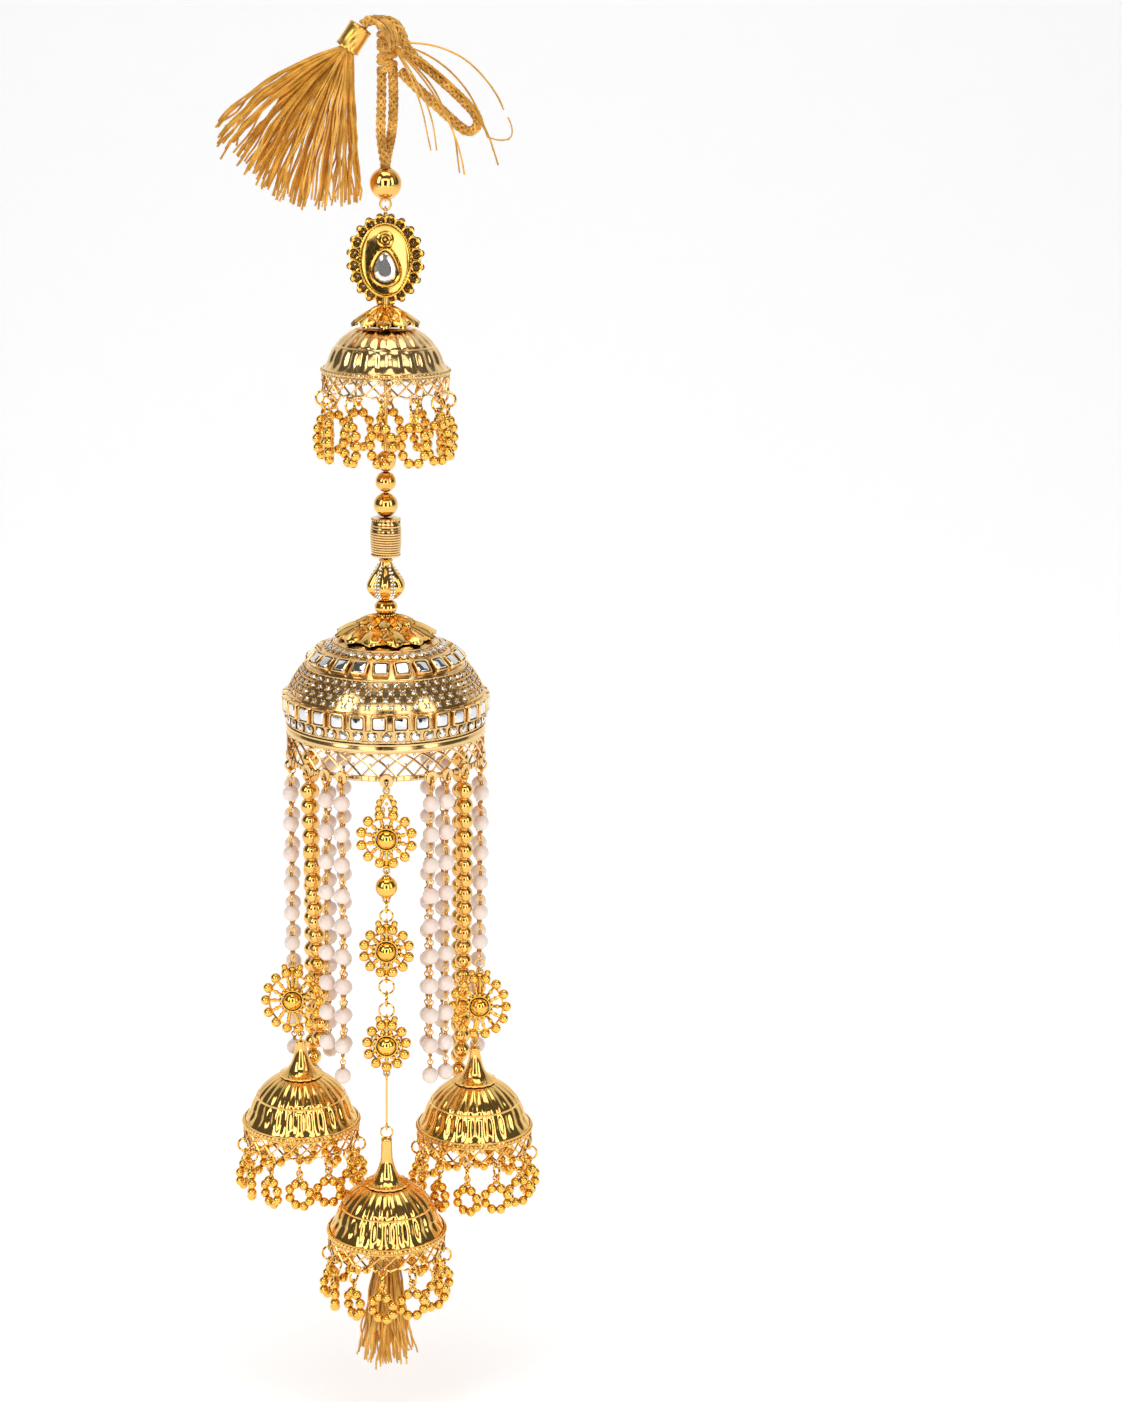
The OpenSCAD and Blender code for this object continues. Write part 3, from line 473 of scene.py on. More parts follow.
for k, (z, tip) in enumerate(WRAPS):
    wrap = [vec(0.4 + WRAP_R * math.cos(a), 1.85 * math.sin(a), z + WRAP_R * math.cos(a) * sind(tip))
            for a in np.arange(14) * TAU / 14 + k]
    braid(knot, wrap + wrap[:1], k, 0.5, 0.1, 0.33, 4.6)
knot.put(Shape().ball(vec(0, 0, 0), 1.9, 16, 12), move(0.4, 0, -8.3), size(1, 1, 1.75))
for start, end, bow, n in FRAYS:
    strand_of_threads(knot, start, end, bow, n, (0.7, 1.3), (0.16, 0.13))
for end, bow in LOOSE_TO:
    strand_of_threads(knot, LOOSE_FROM, end, bow, 1, (0.2, 0.3), (0.26, 0.22), mat=1, steps=26)
knot.tube(smooth_path(HOOK, 0.3), 0.2, 5, mat=1)
knot.tube(smooth_path([(24.2, -4.1, -27.6), (27, -4, -28.3), (29.6, -4, -28.1)], 0.4), 0.21, 5, mat=1)
make("tie_knot_wraps", knot, "head", [BRAID, THREAD], ["tie_knot"])


# ---------------------------------------------------------------- head
bead = drilled_ball(3.85, 0.37, 26, 1.4, 0.55, 56)
for s in (-1, 1):
    bead.ring(vec(0, 0, 3.56 * s), 1.42, 0.16, (0, 0, 1), 28, 6)
make("top_bead_turned", Shape().put(bead, move(0, 0, -39)), "head", [GOLD], ["top_bead"])
make("top_ring_wire", Shape().ring(vec(0, 0, -43.9), 1.3, 0.3, (0, 1, 0), 36, 10), "head", [GOLD],
     ["top_ring"])


def spiral(turns, r, wire):
    """A flat curl in the XZ plane, from its outer end in to the middle."""
    t = np.linspace(0, 1, 16)
    a, reach = turns * TAU * t, r * (1 - 0.75 * t)
    return Shape().tube(np.stack([reach * np.cos(a), 0 * t, reach * np.sin(a)], -1), wire, 5)


def pear(w, h, n):
    a = np.arange(n) * TAU / n
    return np.stack([w / 2 * np.cos(a) * (1 - 0.3 * np.sin(a)), np.zeros(n), h / 2 * np.sin(a)], -1)


def oval(rx, rz, n, y=0.0):
    a = np.arange(n) * TAU / n
    return np.stack([rx * np.cos(a), np.full(n, y), rz * np.sin(a)], -1)


SCALLOPS = 20
mid = Shape()
for side in (-1, 1):
    for k in range(SCALLOPS):
        a = TAU * (k + 0.5) / SCALLOPS
        c, s = math.cos(a), math.sin(a)
        lobe = vec(7.6 * c, 0.72 * side, 9.2 * s)
        out = math.degrees(math.atan2(9.2 * s, 7.6 * c))
        mid.ring(lobe, 1.32, 0.2, (0, 1, 0), 18, 6)
        mid.put(spiral(1.3, 0.85, 0.19), move(*lobe), turn("Y", -out + 90 * side))
        mid.ball(vec(8.7 * c, 0.35 * side, 10.3 * s), 0.62, 12, 8)
        mid.ball(vec(6.35 * c, 0.95 * side, 8.2 * s), 0.34, 8, 6)
        b = TAU * k / SCALLOPS
        mid.ball(vec(8.05 * math.cos(b), 0.6 * side, 9.65 * math.sin(b)), 0.42, 10, 7)
    mid.tube(oval(6.1, 8.7, 72, 1.12 * side), 0.3, 8, True)
    mid.tube(oval(5.55, 8.15, 72, 1.12 * side), 0.2, 6, True)
for k in range(64):
    a = TAU * k / 64
    mid.ball(vec(6.1 * math.cos(a), -1.35, 8.7 * math.sin(a)), 0.22, 7, 5)
dish = [oval(5.5 * t, 8.1 * t, 56, -0.72 - 0.4 * t ** 3) for t in (1, 0.96, 0.9, 0.8, 0.6, 0.3, 0.02)]
mid.grid(np.array(dish), mat=1)
mid.tube(pear(6.5, 8.7, 44) + vec(0, -1.72, -1.7), 0.34, 8, True)
for p in pear(7.3, 9.5, 22):
    mid.ball(p + vec(0, -1.0, -1.7), 0.3, 8, 6)
mid.ring(vec(0, -1.1, 4.9), 1.7, 0.36, (0, 1, 0), 32, 8)
mid.ring(vec(0, -1.1, 4.9), 0.95, 0.16, (0, 1, 0), 24, 6)
mid.ball(vec(0, -1.1, 4.9), 0.45, 12, 8)
make("medallion_filigree", Shape().put(mid, move(0, 0, -57)), "drop", [DEEP, GOLD])
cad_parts["medallion"].data.materials.clear()
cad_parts["medallion"].data.materials.append(GOLD)


def cut_stone(outline, rows):
    """A faceted stone from rows of (scale, depth), flat facets between."""
    s = Shape().grid(np.array([outline * [k, 1, k] + [0, -d, 0] for k, d in rows[::-1]]))
    return s.close_ends(0, len(rows), len(outline))


stone = cut_stone(pear(5.4, 7.6, 16), [(0.92, 0), (1.0, 0.5), (0.98, 0.75), (0.84, 1.25), (0.58, 1.7)])
make("medallion_stone_cut", Shape().put(stone, move(0, -0.95, -58.7)), "drop", [CLEAR],
     ["medallion_stone"], sharp=6)


# ---------------------------------------------------------------- bells
UNITS, SKIRT = 12, 14.5    # rings round each bell, radius of a lower bell's skirt


def wrapped(points, step):
    """A path on a cylinder or cone through (radius, angle, height) points."""
    out = []
    for (r0, a0, z0), (r1, a1, z1) in zip(points, points[1:]):
        n = max(1, int(math.hypot(math.radians(a1 - a0) * r0, z1 - z0) / step + 0.5))
        out += [pol(r0 + (r1 - r0) * i / n, a0 + (a1 - a0) * i / n, z0 + (z1 - z0) * i / n) for i in range(n)]
    return np.array(out + [pol(*points[-1])])


def rope(shape, R, z, r, n, seg, rows):
    """A ring of small beads."""
    one = Shape().ball(vec(0, 0, 0), r, seg, rows)
    for k in range(n):
        shape.put(one, move(*pol(R, 360 * k / n, z)))


def lattice_skirt(s, R):
    """Crossed bars under lozenges, scallops below, and a lug for each jump ring."""
    lozenge = Shape().ball(vec(0, 0, 0), 0.62, 9, 6, scale=(0.55, 1, 1.15))
    for b in np.arange(7) * TAU / 7:
        lozenge.ball(vec(0.1, 0.74 * math.cos(b), 0.9 * math.sin(b)), 0.19, 5, 4)
    for k in range(24):
        a = 15 * k
        for way in (1, -1):
            s.tube(wrapped([(R, a, -0.6), (R, a + 15 * way, -4.4)], 1.4), 0.3, 5, flat=0.8)
        s.tube(wrapped([(R, a, -4.4), (R, a + 7.5, -5.0), (R, a + 15, -4.4)], 2), 0.24, 5)
        s.ball(pol(R + 0.05, a + 7.5, -5.0), 0.34, 7, 5)
        s.ball(pol(R + 0.12, a + 7.5, -2.5), 0.4, 7, 5)
        s.put(lozenge, turn("Z", a), move(R + 0.12, 0, -1.15))
    for k in range(UNITS):
        s.ring(pol(R, 30 * k, -5.2), 0.86, 0.32, pol(1, 30 * k, 0), 18, 6)
    s.ring(vec(0, 0, -0.75), R + 0.15, 0.2, (0, 0, 1), 96, 5)


def bell_shape(rim, h, skirt, t_top, pin=None, ring_r=0.0, ring_turn=0.0):
    """A fluted dome over a lattice skirt. t is an angle up the dome's wall. pin is the height of
    the cone on top, with its ring, and the upper bell has none."""
    s = Shape()
    edge, band = skirt + 0.6, 31
    ts = np.linspace(t_top, 4, 22)
    depth = np.interp(ts, [4, 7, 12, 22, 28, band, 34, 38, 46, 67],
                      [0.15, 0.5, 0.85, 0.9, 0.5, 0.1, 0.45, 0.75, 0.65, 0.3])
    groove = 0.3 * np.exp(-((ts - band) / 1.6) ** 2)
    flare = (edge - 0.9 - rim) * np.clip((12 - ts) / 8, 0, 1) ** 1.2
    wall = [(rim * cosd(t) + d, h * sind(t)) for t, d in zip(ts, flare - groove)]
    roll = [(edge - 0.75, 0.55), (edge - 0.35, 0.4), (edge - 0.2, 0), (edge - 0.35, -0.4),
            (edge - 0.9, -0.6), (rim - 1.6, -0.4)]
    inner = [((rim - 1.65) * cosd(t), (h - 0.9) * sind(t)) for t in (3, 12, 22, 33, 44)]
    top = [(0.6, wall[0][1])]
    if pin is not None:
        trumpet = smooth_path([(1.3, 0, pin), (1.5, 0, 19.2), (1.95, 0, 17.2), (2.6, 0, 15.3), (3.6, 0, 13.8),
                               (4.8, 0, 12.95), (5.6, 0, 12.7)], 0.6)
        top = [(0.6, pin)] + [(p[0], p[2]) for p in trumpet] + [(5.65, 12.35), (4.9, 12.2)]
    first, n = len(top), len(ts)

    def lobes(i, a):
        if first <= i < first + n:
            return depth[i - first] * (np.abs(np.cos(12 * a)) ** 0.62 - 1)
        if pin is not None and first - 5 < i < first:
            return 0.3 * (np.abs(np.cos(8 * a)) ** 0.7 - 1)
        return 0 * a
    s.revolve(top + wall + roll + inner + [(0.6, (h - 0.9) * sind(56))], 168, lobes)
    s.ring(vec(0, 0, h * sind(band)), rim * cosd(band) - 0.25, 0.26, (0, 0, 1), 96, 5)
    rope(s, edge - 0.45, 0, 0.58, 80, 6, 5)
    for z in (0.55, -0.6):
        s.ring(vec(0, 0, z), edge - 0.5, 0.22, (0, 0, 1), 96, 5)
    lattice_skirt(s, skirt)
    if pin is not None:
        s.tube([(0, 0, 8), (0, 0, pin + 0.05)], 0.8, 20)
        s.ring(vec(0, 0, pin - 0.2), 1.2, 0.22, (0, 0, 1), 32, 6)
        s.ring(vec(0, 0, pin + ring_r + 0.1), ring_r, 0.25, pol(1, ring_turn, 0), 32, 8)
    return s


def rings_shape(R):
    s = Shape()
    for k in range(UNITS):
        s.ring(pol(R, 30 * k, -7.05), 1.8, 0.3, pol(1, 30 * k + 90, 0), 32, 8)
    return s


def fringe_shape(R, tall):
    """Bead rings on two legs each: eight beads in a round, or ten in a tall oval."""
    rz, drop, turns = 3.05, 5.8, (22.5, 67.5, 112.5, 157.5)
    if tall:
        rz, drop, turns = 4.6, 7.6, (22, 59, 90, 121, 158)
    eye_z = -8.95
    low = eye_z - drop
    one = Shape().ring(vec(0, 0, eye_z), 0.8, 0.25, (0, 1, 0), 20, 6)
    one.ball(vec(0, 0, -10.35), 0.42, 8, 6)
    one.ring(vec(0, 0, low), 3.0, 0.36, (0, 1, 0), 20, 5, rz=rz - 0.05)
    for side in (-1, 1):
        one.tube(smooth_path([(0.4 * side, 0, -9.6), (0.5 * side, 0, -10.1), (0.85 * side, 0, -10.7),
                              (1.15 * side, 0, low + rz - 0.45)], 0.4), 0.29, 6)
        for t in turns:
            one.ball(vec(3.05 * side * sind(t), 0, low + rz * cosd(t)), 1.25, 12, 8)
    s = Shape()
    for k in range(UNITS):
        s.put(one, turn("Z", 30 * k), move(R, 0, 0), turn("Z", 65))
    return s


def place_bell(name, body, at, angle, shape, R, mat):
    """A bell at its place, with its jump rings and its fringe."""
    here = (move(*at), turn("Z", angle))
    fringe = fringe_shape(R, name == "upper")
    make(f"{name}_bell_chased", Shape().put(shape, *here), body, [mat], [f"{name}_bell"])
    make(f"{name}_jump_rings", Shape().put(rings_shape(R), *here), body, [DEEP], [f"{name}_rings"])
    make(f"{name}_bead_fringe", Shape().put(fringe, *here), body, [DEEP], [f"{name}_fringe"])


FRONT = (1.765, -25.238)    # the front chain, and the centre bell below it
CENTRE = (*FRONT, -297.1)
LOWER_BELLS = (("left", (-21.334, -7.134, -275.4), 3.4, (21.2, 0.9, -3.4)),    # name, place, turn,
               ("right", (23.0, -3.817, -277.7), 25.2, (21.2, 0.9, -25.2)),    # (pin, ring_r, ring_turn)
               ("centre", CENTRE, 0, (24.3, 1.5, 90)))
place_bell("upper", "drop", (0, 0, -83.5), 0, bell_shape(14.3, 11.6, 15.2, 60), 15.2, ANTIQUE)
for name, at, angle, cone in LOWER_BELLS:
    place_bell(name, f"{name}_bell", at, angle, bell_shape(13.4, 13.2, SKIRT, 67, *cone), SKIRT, GOLD)

core = Shape().tube([(0, 0, 7.8), (0, 0, 3)], 1, 16)
core.tube([(0, 0, 5), (0, 0, -8)], 1.95, 20)
for k in range(14):
    core.ring(vec(0, 0, 4.6 - 0.42 * k), 1.98, 0.22, (0, 0.05, 1), 24, 5)
PAIRS = 44
for k in range(PAIRS):
    a, r = 137.5 * k, 1 + 6.4 * math.sqrt((k + 0.5) / PAIRS)
    strand_of_threads(core, pol(r / 4, a, -5), pol(r, a, -37.5 + 0.4 * r), (0, 0, 0), 2, (0.5, 0.7),
                      (0.3, 0.24), steps=20, wave=0.42)
make("centre_tassel_threads", Shape().put(core, move(*CENTRE)), "centre_bell", [THREAD], ["centre_tassel"])


# ---------------------------------------------------------------- leaves, stem and its beads
def leaf(r0, z0, r1, z1, spread, bulge):
    """One chased leaf that lies outward along +X and down a dome, with a rib and raised edges."""
    thick, tip = 0.4, 0.25
    rows = []
    us = np.linspace(-1, 1, 11)
    for t in np.linspace(0.02, 1, 13):
        taper = 1 if t < 0.6 else math.sqrt(max(0.0, 1 - ((t - 0.6) / 0.4) ** 2)) + 0.02
        half = math.radians(spread) * math.sin(math.pi * min(1, t * 0.62 + 0.2)) ** 0.8 * taper
        r = r0 + (r1 - r0) * t
        z = z0 + (z1 - z0) * t - tip * t**3
        top = [vec(r * math.cos(half * u), r * math.sin(half * u),
                   z + bulge * (1 - u * u) * math.sin(math.pi * (0.15 + 0.7 * t)) + 0.22 * math.exp(-(u / 0.14) ** 2)
                   + 0.16 * math.exp(-((abs(u) - 0.92) / 0.1) ** 2)) for u in us]
        low = [vec(r * math.cos(half * u), r * math.sin(half * u), z - thick) for u in us[::-1]]
        rows.append(top + low)
    return Shape().grid(np.array(rows)).close_ends(0, len(rows), 2 * len(us))


def leafy_cap(n, outer, inner, dot_at, dot_z, dot_r):
    """Two rounds of leaves, with a dot on each inner leaf's tip."""
    s = Shape()
    for k in range(n):
        s.put(leaf(*outer), turn("Z", 360 / n * (k + 0.5)))
        s.put(leaf(*inner), turn("Z", 360 / n * k))
        s.ball(pol(dot_at, 360 / n * k, dot_z), dot_r, 9, 6)
    return s


cap = leafy_cap(10, (1.4, -0.5, 8.6, -4.1, 19, 0.75), (1.2, 0.1, 5.4, -2.3, 17, 0.55), 5.7, -3.0, 0.45)
cap.revolve([(0.6, 0.3), (1.5, 0.3), (1.9, -0.2), (2.2, -1), (4.4, -3.2), (6.2, -4.3), (5.4, -4.5), (1.5, -2.6),
             (0.6, -2.4)], 40)
cap.ring(vec(0, 0, 0.25), 1.45, 0.28, (0, 0, 1), 32, 7)
make("upper_cap_petals", Shape().put(cap, move(0, 0, -68.2)), "drop", [GOLD], ["upper_cap"])

cap = leafy_cap(12, (6.4, -0.6, 12.9, -3.3, 14.2, 0.7), (2.0, 1.2, 7.6, -0.3, 14.5, 0.55), 8.3, -1.3, 0.42)
cap.revolve([(0.6, 2.1), (1.7, 2.1), (2.3, 1.6), (2.5, 0.9), (7, -0.7), (12, -3.3), (11.8, -3.6), (7.6, -1.6),
             (4, -0.35), (0.6, 0.1)], 48)
rope(cap, 2.2, 1.75, 0.3, 22, 7, 5)
make("main_cap_leaves", Shape().put(cap, move(0, 0, -145.8)), "drop", [GOLD], ["main_cap"])

barrel = Shape()
barrel.revolve([(0.6, 4.9), (2.9, 4.9), (3.55, 4.7), (3.6, 4.3), (3.2, 4.1), (3.45, 2), (3.5, 0), (3.45, -2),
                (3.2, -4.1), (3.6, -4.3), (3.55, -4.7), (2.9, -4.9), (0.6, -4.9)], 48)
COILS = 13
a = np.linspace(0, TAU * COILS, COILS * 30)
z = np.linspace(3.95, -3.95, len(a))
R = 3.62 - 0.33 * (z / 4.1) ** 2
barrel.tube(np.stack([R * np.cos(a), R * np.sin(a), z], -1), 0.32, 6)
for z0 in (4.45, -4.45):
    rope(barrel, 3.35, z0, 0.36, 30, 7, 5)
barrel = Shape().put(barrel, move(0, 0, -124.6))
make("barrel_bead_wound", barrel, "drop", [ANTIQUE], ["barrel_bead"])

lantern = Shape()
crest = [(1.6, 5), (1.9, 4), (2.6, 2.9), (4, 1.2), (5.2, -1), (4.9, -2.8), (3.2, -4.4), (2, -4.9)]
groove = [0.1, 0.2, 0.5, 0.9, 1.25, 1.05, 0.45, 0.1]
fine = smooth_path([(r, 0, z) for r, z in crest], 0.5)
sunk = np.interp(np.linspace(0, 7, len(fine)), range(8), groove)
lantern.revolve([(0.65, 5)] + [(p[0] - 0.15, p[2]) for p in fine] + [(0.65, -4.9)], 72,
                lambda i, a: 0 * a if i in (0, len(fine) + 1) else
                -sunk[i - 1] * np.abs(np.sin(3 * (a - math.pi / 2))) ** 3)
for k in range(6):
    for i in range(3, len(fine) - 3, 2):
        r, z = fine[i][0] - sunk[i] * 0.97, fine[i][2]
        across = 2 if r > 2.6 else 1
        for j in range(across):
            lantern.ball(pol(r, 60 * k + (j - (across - 1) / 2) * 11, z), 0.36, 7, 5, mat=1)
for z, R in ((4.9, 1.5), (-4.8, 1.8)):
    lantern.ring(vec(0, 0, z), R, 0.3, (0, 0, 1), 28, 6)
lantern = Shape().put(lantern, move(0, 0, -135.3))
make("lantern_bead_pave", lantern, "drop", [GOLD, CLEAR], ["lantern_bead"])

for name, z, d in (("upper", -105.8, 5.1), ("middle", -110.9, 5.1), ("lower", -116.6, 6)):
    one = Shape().put(drilled_ball(d / 2, 0.28, 22, 0.62, 0.2, 40), move(0, 0, z))
    make(f"stem_bead_{name}_polished", one, "drop", [GOLD], [f"stem_bead_{name}"])
for name in ("stem_wire", "flat_bead", "bell_wire"):
    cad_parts[name].data.materials.clear()
    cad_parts[name].data.materials.append(GOLD)


# ---------------------------------------------------------------- main dome
DOME_R, CHAIN_R = 24.4, 25.3    # the strands' rings, and the front chain's
DOME_LINE = [(1.2, -145.9), (4, -146.3), (7.6, -147.6), (12.4, -150.4), (16.4, -153.2), (19.3, -155.8),
             (22.3, -159.6), (24, -162.6), (24.7, -165), (24.8, -168.4), (24.5, -170.6)]
RIM_LINE = [(24.55, -171.4), (24.95, -172.1), (25.0, -172.6), (24.95, -173.1), (24.6, -173.3), (23.9, -173.2),
            (23.3, -171)]
MOULDINGS = ((-171.35, 24.75, 0.3), (-173.35, 24.6, 0.24), (-163.7, 24.35, 0.22), (-167.95, 24.85, 0.22),
             (-170.65, 24.6, 0.22), (-156.55, 20.1, 0.22), (-152.35, 15.25, 0.2),
             (-150.75, 13.0, 0.24))    # height, radius, thickness
line = smooth_path([(r, 0, z) for r, z in DOME_LINE], 1.3)
wall = [(p[0], p[2]) for p in line]
t = np.gradient(line, axis=0)
t /= np.linalg.norm(t, axis=1)[:, None]
inside = [(max(0.8, p[0] + q[2] * 1.1), p[2] - q[0] * 1.1) for p, q in zip(line, t)]
dome = Shape().revolve([(0.8, -145.9)] + wall + RIM_LINE + inside[::-1], 144)
for z, R, r in MOULDINGS:
    dome.ring(vec(0, 0, z), R, r, (0, 0, 1), 120, 5)
rope(dome, 24.55, -170.65, 0.34, 120, 6, 5)


def rounded_square(half, z):
    """Four points round each corner of a square."""
    corner = 0.55
    pts = []
    for q, (x, y) in enumerate(((1, 1), (-1, 1), (-1, -1), (1, -1))):
        for i in range(4):
            a = 90 * q + 30 * i
            pts.append(vec(x * (half - corner) + corner * cosd(a), y * (half - corner) + corner * sind(a), z))
    return pts


collet = Shape().grid(np.array([rounded_square(h, z) for h, z in
                                ((1.62, 0.35), (1.64, 0.95), (1.78, 1.12), (1.95, 1.05), (2.06, 0.8), (2.08, -1.0))]))
for q in range(4):
    collet.ball(vec(2.35 * cosd(45 + 90 * q), 2.35 * sind(45 + 90 * q), 0.85), 0.3, 7, 5)
plate = [rounded_square(h, z) for h, z in ((1.0, 1.12), (1.3, 1.08), (1.52, 0.8), (1.6, 0.35))]
mirror = Shape().grid(np.array(plate))
mirror.faces.append(list(range(16)))
mirror.mats.append(0)


def on_row(n, r, z, lean, k, offset=0.5):
    """The place of stone k of n round the dome, with its face up by lean."""
    return turn("Z", 360 * (k + offset) / n), move(r, 0, z), turn("Y", 90 - lean)


for name, n, r, z, lean in (("upper", 22, 17.9, -154.3, 50), ("lower", 30, 24.75, -165.8, 0)):
    stones = Shape()
    for k in range(n):
        here = on_row(n, r, z, lean, k)
        dome.put(collet, *here)
        wobble = rng.normal(0, 1.6, 2)
        stones.put(mirror, *here, turn("X", wobble[0]), turn("Y", wobble[1]))
    make(f"kundan_{name}_mirrors", stones, "drop", [MIRROR], [f"kundan_{name}"], sharp=20)

gem = Shape().ball(vec(0, 0, 0), 1, 8, 6, scale=(1, 1, 0.6))
claw = Shape().ball(vec(0, 0, 0), 0.3, 5, 4)
small = Shape()


def set_round(n, r, z, lean, stone_r, offset=0.5, collar=False):
    """A row of small stones, each in a collar or between four claws."""
    for k in range(n):
        here = on_row(n, r, z, lean, k, offset)
        small.put(gem, *here, size(stone_r, stone_r, stone_r))
        if collar:
            dome.put(Shape().ring(vec(0, 0, 0.05), stone_r + 0.12, 0.22, (0, 0, 1), 14, 5), *here)
            continue
        for q in range(4):
            a = 45 + 90 * q
            dome.put(claw, *here, move(1.16 * stone_r * cosd(a), 1.16 * stone_r * sind(a), 0.18))


set_round(40, 14.35, -151.65, 57, 0.85, collar=True)
for i, (r, z, lean) in enumerate(((20.77, -157.45, 40), (21.97, -159.0, 36), (22.97, -160.6, 30),
                                  (23.77, -162.2, 24))):
    set_round(50, r, z, lean, 0.66, 0.5 * (i % 2))
set_round(44, 24.85, -169.3, -2, 1.12, collar=True)
make("main_dome_chased", dome, "drop", [ANTIQUE], ["main_dome"])
make("pave_stones", small, "drop", [CLEAR], sharp=8)

strand_turn = 4
strand_angles = (26.5, 37.3, 52, 77)    # inner pearls, outer pearls, gold beads, outermost pearls
lugs = [strand_turn + side * (180 - a if back else a) for back in (0, 1) for side in (-1, 1)
        for a in strand_angles]
BAND = [(24.2, -179.1), (24.75, -179.1), (24.85, -179.3), (24.85, -180.2), (24.7, -180.35), (24.2, -180.35)]
skirt = Shape()
for k in range(36):
    for side in (-1, 1):
        bar = [pol(DOME_R + 0.13 * side, 10 * k + side * 20 * q, -173.2 - 6.1 * q**1.6) for q in np.linspace(0, 1, 13)]
        skirt.tube(bar, 0.28, 5)
    skirt.ball(pol(DOME_R + 0.2, 10 * k, -173.7), 0.42, 7, 5)
    skirt.ball(pol(DOME_R + 0.2, 10 * k + 5, -176.1), 0.3, 6, 5)
skirt.ring(vec(0, 0, -173.3), DOME_R, 0.3, (0, 0, 1), 120, 5)
skirt.revolve(BAND, 120)
for k in range(90):
    skirt.tube([pol(24.88, 4 * k, -179.15), pol(24.88, 4 * k, -180.3)], 0.2, 4)


def lug(half, r, hole):
    return Shape().revolve([(hole, half), (r - 0.12, half), (r, half - 0.2), (r, 0.2 - half), (r - 0.12, -half),
                            (hole, -half)], 26)


for a in lugs:
    skirt.put(lug(0.55, 1.62, 0.55), turn("Z", a - 90), move(DOME_R, 0, -180), turn("Y", 90))
skirt.put(lug(0.62, 1.72, 0.65), turn("Z", strand_turn - 90), move(CHAIN_R - 0.03, 0, -180), turn("Y", 90))
make("main_skirt_lattice", skirt, "drop", [ANTIQUE])

loops = Shape()
for a, r in [(a, DOME_R) for a in lugs] + [(strand_turn, CHAIN_R)]:
    loops.ring(around(r, a, -181.25), 1.2, 0.3, around(1, a + 90), 28, 7)
make("strand_jump_rings", loops, "drop", [GOLD], ["strand_rings"])


# ---------------------------------------------------------------- strands
PEARL_R, PEARL_PITCH = 2.05, 7.85
BEAD_R, BEAD_PITCH = 2.2, 4.28


def link_pair(s, top, low, mat=1, fine=True):
    """The turned wire between two pearls: a wrap and an eye on each, one eye through the other."""
    d = unit(low - top)
    r = 0.5 * (np.linalg.norm(low - top) / 2 + 0.28 - 0.75)
    for end, way, hole in ((top, d, (1, 0.2, 0)), (low, -d, (0.1, 1, 0))):
        for j in (0.12, 0.4, 0.66) if fine else (0.2, 0.55):
            s.ring(end + way * j, 0.36, 0.17, way, 9 if fine else 7, 4, mat)
        s.ring(end + way * (0.75 + r), r, 0.19, hole, 18 if fine else 12, 5 if fine else 4, mat)


def pearl_string(s, pearl, angle, first, bottom, fine=True):
    """Pearls on turned wires below a jump ring. Those in front are each a little uneven."""
    last = around(DOME_R, angle, -182.5)
    for k, z in enumerate(np.arange(first, bottom + 1.9, -PEARL_PITCH)):
        c = around(DOME_R, angle, z)
        uneven = (turn("Z", 40 * k), turn("X", rng.uniform(-7, 7)),
                  size(1, 1, rng.uniform(0.97, 1.02))) if fine else ()
        s.put(pearl, move(*c), *uneven)
        link_pair(s, last, c + vec(0, 0, PEARL_R), fine=fine)
        last = c - vec(0, 0, PEARL_R)
    return s


def bead_string(s, points):
    """Gold beads nearly touching along a line."""
    line = smooth_path(points, 0.25)
    run = run_lengths(line)
    one = drilled_ball(BEAD_R, 0.24, 13, 0.5, 0.1, 20)
    for k, q in enumerate(np.arange(BEAD_R + 0.1, run[-1] - BEAD_R + 0.3, BEAD_PITCH)):
        c = vec(*(np.interp(q, run, line[:, i]) for i in range(3)))
        s.put(one, move(*c), turn("Z", 31 * k))
        s.ring(c - vec(0, 0, BEAD_PITCH / 2), 0.62, 0.25, (0, 0, 1), 14, 5)
    s.ring(vec(*points[0]) + vec(0, 0, 0.35), 0.62, 0.2, (0, 1, 0), 20, 6)
    return s


front_pearl = drilled_ball(PEARL_R, 0.17, 17, 0.3, 0.12, 26)
back_pearl = drilled_ball(PEARL_R, 0.17, 11, 0.3, 0.12, 16)
for word, side, firsts, bottoms in (("left", -1, (-186.7, -186.4), (-261, -258)),
                                    ("right", 1, (-186.8, -186.8), (-264.5, -262))):
    for place, a, first, bottom in zip(("inner", "outer"), strand_angles, firsts, bottoms):
        make(f"pearls_{word}_{place}", pearl_string(Shape(), front_pearl, strand_turn + side * a, first, bottom),
             "drop", [PEARL, GOLD], [f"pearl_strand_{word}_{place}"])
    back = Shape()
    for k, bottom in ((0, -274), (1, -274), (3, -264)):
        pearl_string(back, back_pearl, strand_turn + side * (180 - strand_angles[k]), -186.9 - 0.8 * k, bottom,
                     fine=False)
    make(f"back_pearls_{word}_strung", back, "drop", [PEARL, GOLD], [f"back_pearls_{word}"])

